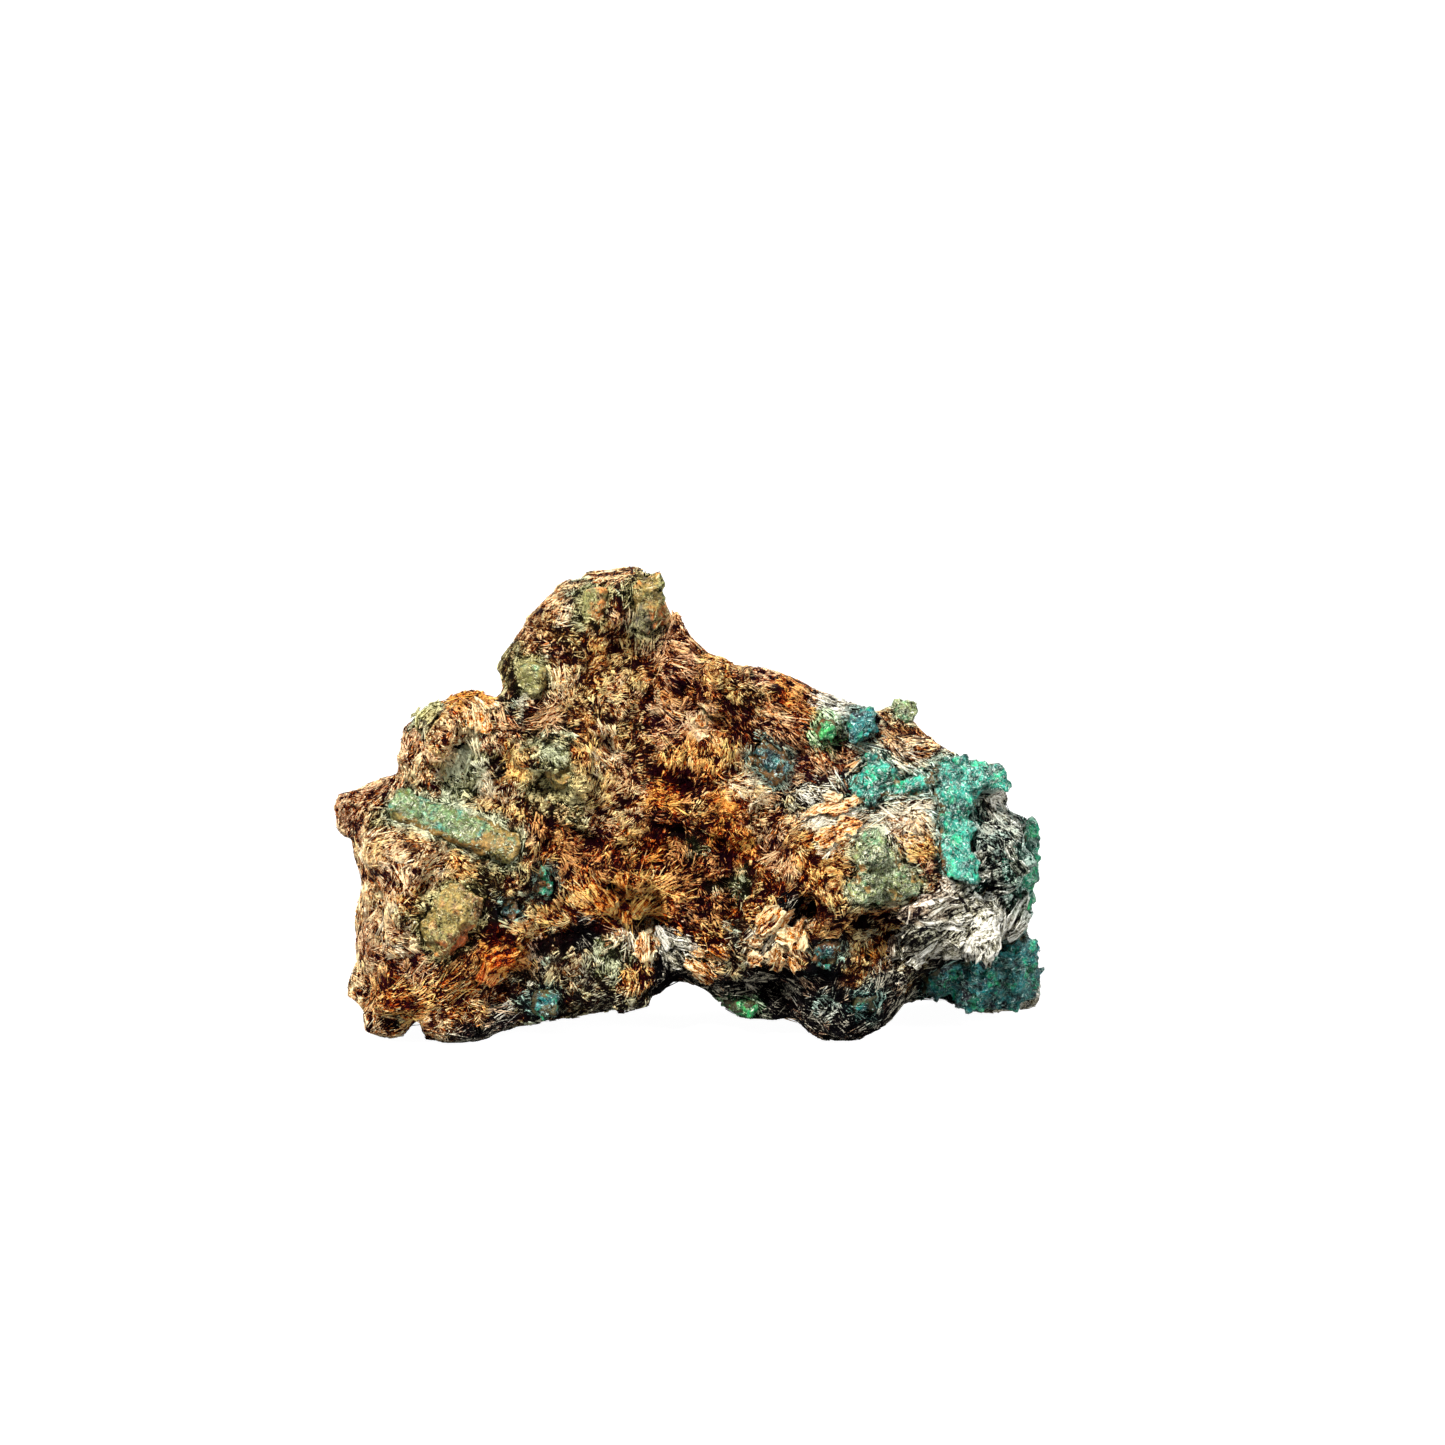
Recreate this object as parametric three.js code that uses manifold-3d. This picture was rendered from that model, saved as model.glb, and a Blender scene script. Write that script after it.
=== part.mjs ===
// Emerald in matrix: a hand specimen of phlogopite mica schist with emerald crystals
// grown through it. The host rock is one piece, with the larger mica books that stand out
// of it. Each emerald, or group of emeralds grown into each other, is a piece of its own
// that sits in its socket in the rock.
//
// Millimetres. +Z is up, the show side faces -Y, and +X is to its right. The origin is at
// the middle of the base, on the surface that the stone stands on.

import * as THREE from "three";
import { mergeVertices } from "three/addons/utils/BufferGeometryUtils.js";
import Module from "manifold-3d";

const wasm = await Module();
wasm.setup();

// ---------------------------------------------------------------------------------------
// Driving dimensions
// ---------------------------------------------------------------------------------------

const CELL = 3.8; // facet size of the host rock
const SOCKET_GAP = 0.3; // clearance between a crystal and its socket
const SIGHT_DIP = THREE.MathUtils.degToRad(10); // the show outline is drawn along this dip
const FOOT_DROP = 2.1; // how far the front feet stand below the sight line's zero
const HALF_DEPTH = 22; // half of the stone's thickness from front to back
const RIM_TAPER = 5; // how far the outline draws in at the front and the back
const RIM_SPARE = 0.55; // how far the form stands out of the outline before it is trimmed
const CHUNK = [8.6, 7.4, 6.8]; // spacing of the broken blocks all over the rock
const CHUNK_TILT = 1.15; // how far a block's broken face leans away from the form below it
const CHUNK_RELIEF = 3.0; // the most that a block's face stands out or in
const CREASE = 1.5; // depth of the creases between blocks

const MICA_SLOT = { color: 0x8a5a30, roughness: 0.45, metalness: 0.15 };
const EMERALD_SLOT = { color: 0x1f8a62, roughness: 0.3, metalness: 0.0 };
const PALE_BERYL_SLOT = { color: 0x7fa58a, roughness: 0.45, metalness: 0.0 };

// ---------------------------------------------------------------------------------------
// Outlines of the stone
// ---------------------------------------------------------------------------------------

// The show side's outline: [x, height seen along the sight line], clockwise from the tip
// of the ledge on the left.
const SHOW_OUTLINE = [
  // ledge and left shoulder
  [-44.6, 28.0], [-43.75, 29.4], [-42.0, 30.9], [-39.5, 32.0], [-37.25, 32.5],
  [-35.5, 32.9], [-35.1, 36.25], [-34.9, 38.75], [-34.25, 40.4], [-32.75, 41.4],
  [-30.75, 42.0], [-29.5, 42.25], [-28.9, 43.1], [-27.25, 43.75], [-25.75, 43.6],
  [-24.6, 43.0], [-23.6, 42.4],
  // peak
  [-22.6, 42.9], [-22.4, 44.75], [-22.75, 45.75], [-23.5, 46.5], [-23.1, 47.75],
  [-21.6, 49.25], [-20.25, 51.0], [-19.25, 52.9], [-17.9, 54.6], [-16.25, 55.6],
  [-16.25, 56.9], [-15.5, 57.6], [-13.25, 57.1], [-12.25, 58.1], [-11.1, 58.4],
  [-9.5, 58.9], [-7.6, 59.4], [-6.25, 58.6], [-3.9, 57.5], [-2.5, 56.5],
  [-1.9, 54.75], [-1.25, 53.25], [-0.1, 52.0], [0.5, 50.4], [1.75, 48.75],
  // long slope to the right
  [3.0, 47.9], [4.6, 47.75], [6.4, 46.4], [8.25, 46.5], [10.25, 46.1], [12.6, 45.4],
  [14.25, 44.5], [16.75, 43.1], [19.25, 42.75], [20.9, 41.6], [23.0, 40.75],
  [25.0, 41.1], [26.25, 41.0], [28.1, 40.0], [29.25, 38.1], [30.5, 37.75],
  [31.25, 36.1], [33.0, 35.4], [35.25, 34.4], [37.4, 34.5], [39.1, 33.5],
  // right end
  [39.4, 31.75], [39.9, 29.9], [38.75, 29.5], [39.25, 28.9], [41.25, 27.9],
  [43.0, 27.25], [43.75, 25.6], [43.75, 23.1], [42.9, 21.0], [43.0, 18.75],
  [42.75, 16.0], [42.0, 13.75], [42.6, 11.9], [43.75, 9.4], [44.0, 6.9], [43.9, 4.4],
  // underside, from right to left: hollow, right foot, arch, belly, two left feet
  [40.5, 3.75], [37.6, 3.6], [34.25, 4.25], [31.75, 5.5], [29.9, 5.75], [28.0, 4.6],
  [25.9, 3.6], [24.9, 1.8], [22.75, 0.4], [20.5, -0.4], [18.75, -0.8], [16.6, 0.1],
  [15.2, 2.0], [13.4, 3.4], [11.1, 3.0], [8.25, 3.0], [6.1, 4.0], [4.25, 5.75],
  [2.0, 7.0], [0.0, 7.9], [-0.8, 7.8], [-1.3, 7.0], [-1.5, 5.8], [-2.0, 5.0], [-6.4, 4.25],
  [-10.1, 4.1], [-13.25, 3.5], [-16.75, 2.9], [-20.1, 2.4], [-22.25, 1.4],
  [-24.1, 0.4], [-25.1, -0.6], [-27.6, -1.2], [-30.0, -1.4], [-31.6, -0.4],
  [-32.3, 1.6], [-32.6, 3.4], [-33.1, 3.8], [-33.7, 3.3], [-34.6, 1.4], [-35.4, -0.2],
  [-37.4, -1.2], [-39.2, -0.6], [-40.2, 1.4],
  // left side, upwards
  [-40.9, 3.4], [-41.7, 6.0], [-41.5, 7.9], [-40.6, 10.0], [-40.75, 12.75],
  [-41.4, 14.4], [-40.75, 16.9], [-40.25, 18.75], [-39.75, 20.1], [-40.4, 21.75],
  [-41.1, 23.4], [-40.6, 24.75], [-41.0, 25.5], [-42.4, 25.6], [-43.75, 26.9],
];

// The stone from its left end: [y, z]. It is thickest low down and leans back to the peak.
const END_OUTLINE = [
  [-9, 1.6], [-12, 4], [-13, 13], [-11.5, 24], [-9, 32], [-8, 38], [-6.5, 47], [-4, 55],
  [0, 62], [9, 62], [13, 54], [15.5, 42], [19, 31], [21, 18], [20.5, 7], [17, 2.2],
];

// The stone from above: [x, y].
const PLAN_OUTLINE = [
  [-47, -5], [-43, -12], [-33, -17], [-15, -15], [3, -13], [16, -18], [30, -17],
  [40, -13], [46, -7], [47, 5], [42, 14], [30, 18], [14, 22], [-6, 21], [-24, 22],
  [-36, 17], [-44, 11], [-48, 3],
];

// ---------------------------------------------------------------------------------------
// Forms of the broken surface
// ---------------------------------------------------------------------------------------

// Lumps that stand out of the rock. at: [x, height seen, y]; size: half sizes along X, Y
// and Z; turn: degrees about Y, clockwise from the front; box lumps have flat faces.
const LUMPS = [
  { at: [-31, 14, -6], size: [10, 11.5, 9.5] }, // lower left mass
  { at: [-37.8, 3.8, -8], size: [3.6, 6, 5], box: true, turn: 6 }, // outer left foot
  { at: [-28, 3.4, -9], size: [6.4, 6.5, 5.2], turn: -8 }, // inner left foot
  { at: [-30, 23.6, -7], size: [12, 8.5, 2.8], box: true, turn: 9 }, // shelf on the left
  { at: [-40.5, 28.4, -3], size: [5.5, 5, 2.6], turn: -24 }, // ledge tip
  { at: [-31.5, 37.5, -3], size: [3.6, 8, 5.4], box: true, turn: 3 }, // left shoulder
  { at: [-26.5, 41, -1], size: [3.2, 6, 3] }, // orange crest on the shoulder
  { at: [-15.4, 33.6, -8], size: [5.2, 5.4, 4.6], box: true, turn: -10 }, // olive knob
  { at: [-13, 46, 1], size: [7.6, 8.5, 4], box: true, turn: 6 }, // foot of the peak
  { at: [-12, 53, 3], size: [6, 8, 4.5] }, // upper peak
  { at: [-3.6, 48, 2], size: [3, 6, 5], turn: -20 }, // peak's right flank
  { at: [9, 43, 2], size: [7, 6, 3], box: true, turn: 20 }, // crest of the slope
  { at: [20, 38, 0], size: [8, 7, 3], box: true, turn: 32 }, // lower on the slope
  { at: [27.5, 36, -3], size: [3.6, 5, 3.6] }, // block under the knob crystal
  { at: [-9, 24, -6], size: [7, 6, 5.5] }, // left of the rusty middle
  { at: [20, 21, -6.5], size: [12.5, 11.5, 9.5], turn: 8 }, // right swelling
  { at: [11, 13, -8], size: [6.5, 7.5, 4], turn: 22 }, // its lower left
  { at: [34, 23, -2], size: [8, 9.5, 7.5] }, // right end
  { at: [35, 14.6, -6], size: [9, 8.6, 3.6], box: true, turn: -12 }, // pale mica shelf
  { at: [19, 3.8, -9], size: [6.8, 6.6, 5.6] }, // right foot
  { at: [-13, 7, -4], size: [11, 7, 4] }, // belly under the seam
  { at: [-22, 27, 12], size: [12, 9, 9], box: true, turn: 12 }, // back left
  { at: [-8, 40, 8], size: [9, 7, 9], box: true, turn: -14 }, // back of the peak
  { at: [12, 26, 13], size: [12, 8, 9], turn: 10 }, // back right
  { at: [32, 16, 8], size: [9, 8, 7], box: true, turn: -8 }, // back of the right end
];

// Hollows, clefts and undercuts, given like the lumps.
const HOLLOWS = [
  { at: [-3.8, 42, -11], size: [1.5, 7, 8.5], turn: 2 }, // cleft right of the peak
  { at: [0.8, 42.5, -13], size: [5, 6.5, 5], turn: 12 }, // recess beside it
  { at: [-16, 40.2, -13], size: [6, 6, 1.8], turn: 4 }, // undercut at the peak's foot
  { at: [-4.5, 24, -17], size: [8, 6, 7] }, // rusty middle
  { at: [4, 38.6, -13], size: [3, 5, 1.6] }, // pit above the barrel book
  { at: [15, 16.6, -18], size: [2.2, 5, 2.6] }, // dark pit in the swelling
  { at: [37.8, 27.4, -12], size: [3, 7, 1.7] }, // slot in the right end
  { at: [27, 38, -9], size: [2, 5, 2.6] }, // hole beside the knob crystal
  { at: [-31.5, 31.6, -13], size: [4.6, 5, 1.6], turn: 6 }, // over the long crystal
  { at: [-23.5, 12.8, -17], size: [5.5, 5, 1.5], turn: -8 }, // slit on the lower left
  { at: [-12, 9, -15], size: [12, 6, 4.2], turn: -4 }, // undercut below the seam
  { at: [-3.2, 9.4, -13], size: [4, 6, 2.6] }, // cave above the arch
  { at: [9, 6.4, -15], size: [8, 5.5, 2.4], turn: 18 }, // undercut on the right
  { at: [30, 6, -13], size: [5, 6, 3.2], turn: -10 }, // hollow under the shelf
  { at: [-19.5, 15.5, -16], size: [2.4, 4, 1.8], turn: -50 }, // beside the green pair
  { at: [-6, 22, 25], size: [6, 6, 9], turn: -12 }, // scallop in the back
];

// Feet at the back, out of sight below the belly: [x, y, half width].
const BACK_FEET = [
  [-16, 13, 6.6],
  [33, 9.5, 6.2],
];

// ---------------------------------------------------------------------------------------
// Emeralds
// ---------------------------------------------------------------------------------------

// Each crystal runs from one point to the other, both [x, height seen, depth]: depth is
// measured along the sight line from the rock's own surface, and is less than 0 in front of
// it. At the rim of the stone it is y itself (rim: true). Those under one name have grown
// into each other and are one solid.
const EMERALDS = {
  long_emerald: [
    { from: [-35.6, 29.7, 0.2], to: [-20.6, 23.9, 0.6], radius: 2.35, spin: 12, slant: 0.2 },
  ],
  tall_emerald: [
    { from: [33, 35, -7], to: [33.1, 20.6, -13], radius: 2.5, spin: 8, slant: 0.25, rim: true },
    { from: [30.5, 32.6, -8], to: [39.3, 33.2, -9], radius: 2.1, spin: 20, slant: 0.3, rim: true },
  ],
  teal_twins: [
    { from: [21.4, 30.3, 1], to: [25.0, 34.6, 0.6], radius: 2.7, spin: 5, slant: 0.2 },
    { from: [25, 31.2, 1], to: [29.6, 31.8, 0.6], radius: 1.8, spin: 25, slant: 0.3 },
  ],
  knob_emerald: [
    { from: [26.6, 38, -1], to: [27.1, 42.2, -0.5], radius: 1.6, spin: 10, rim: true },
  ],
  dark_slope_emerald: [
    { from: [21.4, 38.6, 3], to: [21.9, 39.4, -1.3], radius: 2.1, spin: 0, slant: 0.2 },
  ],
  light_slope_emerald: [
    { from: [17.3, 38, 3], to: [17.2, 38.8, -1], radius: 1.6, flat: 0.8, spin: 30 },
  ],
  right_edge_emerald: [
    { from: [41.8, 20.4, 1], to: [41.9, 27, 1], radius: 2.1, spin: 12, slant: 0.25, rim: true },
    { from: [40.5, 16.4, -1.5], to: [41, 23, -1], radius: 2.5, spin: 40, slant: 0.2, rim: true },
  ],
  corner_emeralds: [
    { from: [40, 5.3, -3], to: [39.4, 12, -6], radius: 4, spin: 15, slant: 0.15, rim: true },
    { from: [35.2, 5.4, -4], to: [35.6, 10, -7.5], radius: 3.2, spin: 35, slant: 0.2, rim: true },
    { from: [31.2, 7, -4], to: [31.6, 9.6, -8], radius: 2.2, spin: 5, slant: 0.2, rim: true },
    { from: [43.4, 6.6, -1], to: [42.4, 12.3, -2], radius: 1.7, flat: 0.7, spin: 50, rim: true },
  ],
  blue_emerald: [
    { from: [8.6, 36.4, 0.9], to: [12, 33.8, 0.7], radius: 2.2, spin: 10, slant: 0.2 },
  ],
  sage_cluster: [
    { from: [24, 21.6, 3], to: [22.6, 24.6, -0.6], radius: 2.7, spin: 0, slant: 0.2 },
    { from: [25.2, 19.8, 3], to: [27.4, 20.6, -0.8], radius: 2.6, spin: 25, slant: 0.25 },
    { from: [23, 19.4, 3], to: [21, 19.6, -0.8], radius: 2.1, spin: 40, slant: 0.2 },
  ],
  swelling_emerald: [
    { from: [16.8, 12, 2], to: [17.4, 11.2, -2.4], radius: 2.2, spin: 15, slant: 0.25 },
  ],
  left_green_emerald: [
    { from: [-18, 18.4, 0.8], to: [-17.3, 22, 0.5], radius: 2.0, flat: 0.8, spin: 80 },
  ],
  left_small_emerald: [
    { from: [-21.6, 16.8, 3], to: [-21.6, 16.6, -1], radius: 1.8, spin: 20, slant: 0.2 },
  ],
  olive_knob_emerald: [
    { from: [-15.2, 33.4, 3.4], to: [-15.1, 34.2, -1.2], radius: 2.5, spin: 10, slant: 0.2 },
  ],
  mound_emerald: [
    { from: [-26.6, 18.6, 1.6], to: [-31.6, 12.4, 1.2], radius: 3.1, spin: 15, slant: 0.2 },
  ],
  peak_emerald: [
    { from: [-4.8, 51.6, 0], to: [-4.6, 57, -1.2], radius: 2.7, spin: 20, slant: 0.15, rim: true },
  ],
  peak_small_emerald: [
    { from: [-11.1, 52.2, 1], to: [-10.8, 56, 0.6], radius: 1.9, spin: 0, slant: 0.2 },
  ],
  peak_left_emerald: [
    { from: [-18.6, 43.2, 0.9], to: [-18.6, 46.6, 0.8], radius: 1.9, flat: 0.9, spin: 20 },
  ],
  arch_emerald: [
    { from: [4.6, 5.6, -7], to: [8.6, 3.7, -9], radius: 1.35, spin: 10, slant: 0.3, rim: true },
  ],
  belly_emerald: [
    { from: [-17.6, 5.6, 4], to: [-17.4, 5, -0.9], radius: 1.9, spin: 15, slant: 0.2 },
  ],
  foot_emerald: [
    { from: [20.4, 5, 0.9], to: [23.4, 4.8, 0.8], radius: 1.5, spin: 25 },
  ],
};

const PALE = new Set([
  "knob_emerald",
  "sage_cluster",
  "olive_knob_emerald",
  "mound_emerald",
  "peak_emerald",
  "peak_small_emerald",
  "peak_left_emerald",
]);

// ---------------------------------------------------------------------------------------
// Small tools: seeded numbers, noise and distances
// ---------------------------------------------------------------------------------------

// A number from 0 to 1 that depends only on three whole numbers and a channel.
function lattice(i, j, k, channel = 0) {
  let h = Math.imul(i, 374761393) ^ Math.imul(j, 668265263) ^ Math.imul(k, 2147483647);
  h = Math.imul(h ^ (h >>> 13) ^ Math.imul(channel + 11, 1274126177), 1103515245);
  h ^= h >>> 16;
  h = Math.imul(h, 2246822519);
  return ((h ^ (h >>> 15)) >>> 0) / 4294967295;
}

const ease = (t) => t * t * (3 - 2 * t);
const mix = THREE.MathUtils.lerp;

// Smooth noise from -1 to 1.
function noise(x, y, z, channel = 0) {
  const [i, j, k] = [Math.floor(x), Math.floor(y), Math.floor(z)];
  const [u, v, w] = [ease(x - i), ease(y - j), ease(z - k)];
  const row = (dj, dk) =>
    mix(lattice(i, j + dj, k + dk, channel), lattice(i + 1, j + dj, k + dk, channel), u);
  return 2 * mix(mix(row(0, 0), row(1, 0), v), mix(row(0, 1), row(1, 1), v), w) - 1;
}

// The block that a point belongs to: the nearest of a set of scattered centres, with its
// margin, how much nearer it is than the second one.
function nearestChunk(x, y, z) {
  const home = [x, y, z].map((value, axis) => Math.floor(value / CHUNK[axis]));
  let best = { distance: Infinity };
  let second = Infinity;
  for (let a = home[0] - 1; a <= home[0] + 1; a++)
    for (let b = home[1] - 1; b <= home[1] + 1; b++)
      for (let c = home[2] - 1; c <= home[2] + 1; c++) {
        const cell = [a, b, c];
        const centre = cell.map((n, axis) => (n + lattice(a, b, c, axis + 1)) * CHUNK[axis]);
        const distance = Math.hypot(centre[0] - x, centre[1] - y, centre[2] - z);
        second = Math.min(second, Math.max(distance, best.distance));
        if (distance < best.distance) best = { distance, cell, centre };
      }
  return { ...best, margin: second - best.distance };
}

// Minimum and maximum that round off the seam between two surfaces over a width.
function smoothMin(a, b, width) {
  const h = Math.max(width - Math.abs(a - b), 0) / width;
  return Math.min(a, b) - (h * h * width) / 4;
}
const smoothMax = (a, b, width) => -smoothMin(-a, -b, width);

// Distance from (px, py) to a closed outline, negative inside.
function outlineDistance(outline, px, py) {
  let nearest = Infinity;
  let inside = false;
  outline.forEach(([ax, ay], n) => {
    const [bx, by] = outline[(n + 1) % outline.length];
    const along = ((px - ax) * (bx - ax) + (py - ay) * (by - ay)) /
      ((bx - ax) ** 2 + (by - ay) ** 2);
    const t = THREE.MathUtils.clamp(along, 0, 1);
    nearest = Math.min(nearest, Math.hypot(px - mix(ax, bx, t), py - mix(ay, by, t)));
    if (ay > py !== by > py && px < ax + ((py - ay) / (by - ay)) * (bx - ax)) inside = !inside;
  });
  return inside ? -nearest : nearest;
}

// The height at which a point is seen along the sight line, and the way back.
const seenHeight = (y, z) => z * Math.cos(SIGHT_DIP) + y * Math.sin(SIGHT_DIP) + FOOT_DROP;
const zOfSeen = (v, y) => (v - FOOT_DROP - y * Math.sin(SIGHT_DIP)) / Math.cos(SIGHT_DIP);
const fromSeen = ([x, v, y]) => new THREE.Vector3(x, y, zOfSeen(v, y));

// Distance to a lump or hollow: an ellipsoid, or a box with rounded edges.
function formDistance(form, x, y, z) {
  const [dx, dy, dz] = [x - form.centre.x, y - form.centre.y, z - form.centre.z];
  const lx = dx * form.cos - dz * form.sin;
  const lz = dx * form.sin + dz * form.cos;
  const [sx, sy, sz] = form.size;
  if (form.box) {
    const edge = Math.min(1.2, sz / 2);
    const q = [Math.abs(lx) - sx + edge, Math.abs(dy) - sy + edge, Math.abs(lz) - sz + edge];
    const outside = Math.hypot(...q.map((value) => Math.max(value, 0)));
    return outside + Math.min(Math.max(...q), 0) - edge;
  }
  const scaled = Math.hypot(lx / sx, dy / sy, lz / sz);
  const steep = Math.hypot(lx / sx ** 2, dy / sy ** 2, lz / sz ** 2);
  return steep < 1e-9 ? -Math.min(sx, sy, sz) : (scaled * (scaled - 1)) / steep;
}

function withPlace(form) {
  const angle = THREE.MathUtils.degToRad(form.turn ?? 0);
  return { ...form, centre: fromSeen(form.at), cos: Math.cos(angle), sin: Math.sin(angle) };
}

const lumps = LUMPS.map(withPlace);
const hollows = HOLLOWS.map(withPlace);

// ---------------------------------------------------------------------------------------
// The host rock as a field: negative inside, positive outside
// ---------------------------------------------------------------------------------------

// The whole form without its broken blocks.
function plainField(x, y, z) {
  let d = smoothMax(outlineDistance(END_OUTLINE, y, z), outlineDistance(PLAN_OUTLINE, x, y), 7);
  for (const lump of lumps) d = smoothMin(d, formDistance(lump, x, y, z), 1.6);
  for (const hollow of hollows) d = smoothMax(d, -formDistance(hollow, x, y, z), 1.2);
  const { edge, behind } = rimPlace(x, y, z);
  const taper = RIM_TAPER * Math.abs(behind / HALF_DEPTH) ** 1.5;
  return smoothMax(d, edge - RIM_SPARE + taper, 1.6);
}

// The outline is fullest along a crest, which comes forward over the feet and wanders
// elsewhere: how far a point lies outside the outline, and how far behind the crest.
function rimPlace(x, y, z) {
  const v = seenHeight(y, z);
  const overFeet = ease(THREE.MathUtils.clamp((11 - v) / 8, 0, 1));
  const crest = mix(2 + 4 * noise(x / 13, v / 13, 5), -9, overFeet);
  return { edge: outlineDistance(SHOW_OUTLINE, x, v), behind: y - crest };
}

// The flat broken face of a block: a plane through the form near the block's middle.
const brokenFaces = new Map();
function brokenFace({ cell, centre }) {
  const key = cell.join();
  if (!brokenFaces.has(key)) {
    const at = plainField(...centre);
    const slope = [0, 1, 2].map((axis) => {
      const beside = centre.with(axis, centre[axis] + 0.5);
      return (plainField(...beside) - at) / 0.5;
    });
    const outward = new THREE.Vector3(...slope).normalize();
    const middle = new THREE.Vector3(...centre).addScaledVector(outward, -at);
    const lean = [1, 2, 3].map((n) => CHUNK_TILT * (lattice(...cell, n + 20) - 0.5) * 2);
    const normal = outward.clone().add(new THREE.Vector3(...lean)).normalize();
    const step = 0.6 * CHUNK_RELIEF * (lattice(...cell, 25) - 0.5);
    brokenFaces.set(key, new THREE.Plane(normal, -normal.dot(middle) - step));
  }
  return brokenFaces.get(key);
}

// The plain form's surface met along the sight line, going back from well in front of it.
const depths = new Map();
function surfaceDepth(x, v) {
  const key = [x, v].join();
  if (!depths.has(key)) {
    let y = -24;
    while (y < 10 && plainField(x, y, zOfSeen(v, y)) > 0) y += 0.25;
    depths.set(key, y);
  }
  return depths.get(key);
}

function crystalEnd([x, v, depth], rim) {
  return fromSeen([x, v, rim ? depth : surfaceDepth(x, v) + depth]);
}

// Each crystal's axis and radius, for the bed of rock behind it and the open space in
// front of it.
const seats = Object.values(EMERALDS).flat().map(({ from, to, rim, radius }) => {
  const axis = new THREE.Line3(crystalEnd(from, rim), crystalEnd(to, rim));
  return { axis, radius, middle: axis.getCenter(new THREE.Vector3()), reach: axis.distance() / 2 };
});

// Distance to a crystal's axis, from a point moved by a share of its radius along y.
function distanceToAxis({ axis, radius }, point, share) {
  const moved = point.clone();
  moved.y += share * radius;
  return axis.closestPointToPoint(moved, true, new THREE.Vector3()).distanceTo(moved);
}

function rockField(x, y, z) {
  const plain = plainField(x, y, z);
  let d = plain;
  if (Math.abs(plain) < 6) {
    // Blocks give way to the plain form at the crest of the outline, which is uneven by
    // itself, and none stands out of the outline behind it.
    const { edge, behind } = rimPlace(x, y, z);
    const inFrom = THREE.MathUtils.clamp(-edge / 4, 0, 1);
    const chunk = nearestChunk(x, y, z);
    const face = brokenFace(chunk).distanceToPoint(new THREE.Vector3(x, y, z)) - plain;
    const crease = CREASE * (1 - THREE.MathUtils.clamp(chunk.margin / 1.6, 0, 1));
    const relief = THREE.MathUtils.clamp(face, -CHUNK_RELIEF, CHUNK_RELIEF) + crease;
    d += relief * (relief < 0 ? inFrom : Math.max(inFrom, Math.min(Math.abs(behind) / 8, 1)));
  }
  const point = new THREE.Vector3(x, y, z);
  for (const seat of seats) {
    if (point.distanceTo(seat.middle) > seat.reach + 3 * seat.radius + 3) continue;
    d = smoothMin(d, distanceToAxis(seat, point, -0.9) - 1.3 * seat.radius, 1.5);
    d = smoothMax(d, 1.2 * seat.radius - distanceToAxis(seat, point, 0.9), 0.8);
  }
  for (const [footX, footY, half] of BACK_FEET) {
    const foot = Math.hypot(x - footX, y - footY, z - 4) - half;
    d = smoothMin(d, foot, 3);
  }
  return d;
}

// Where two corners across a grid square are inside and the other two are outside, the
// surface would touch itself. The outside corner nearest to the surface is filled in there.
function fillPinches(values, count, step) {
  const sides = [[0, 1], [1, 2], [2, 0]];
  for (let filled = true; filled; ) {
    filled = false;
    for (let k = 0; k < count[2] - 1; k++)
      for (let j = 0; j < count[1] - 1; j++)
        for (let i = 0; i < count[0] - 1; i++)
          for (const [u, w] of sides) {
            const here = i * step[0] + j * step[1] + k * step[2];
            const square = [here, here + step[u], here + step[u] + step[w], here + step[w]];
            const [a, b, c, d] = square.map((n) => values[n] < 0);
            if (a !== c || b !== d || a === b) continue;
            const outside = square.filter((n) => values[n] >= 0);
            const nearest = outside.reduce((m, n) => (values[n] < values[m] ? n : m));
            values[nearest] = -0.05;
            filled = true;
          }
  }
}

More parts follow.
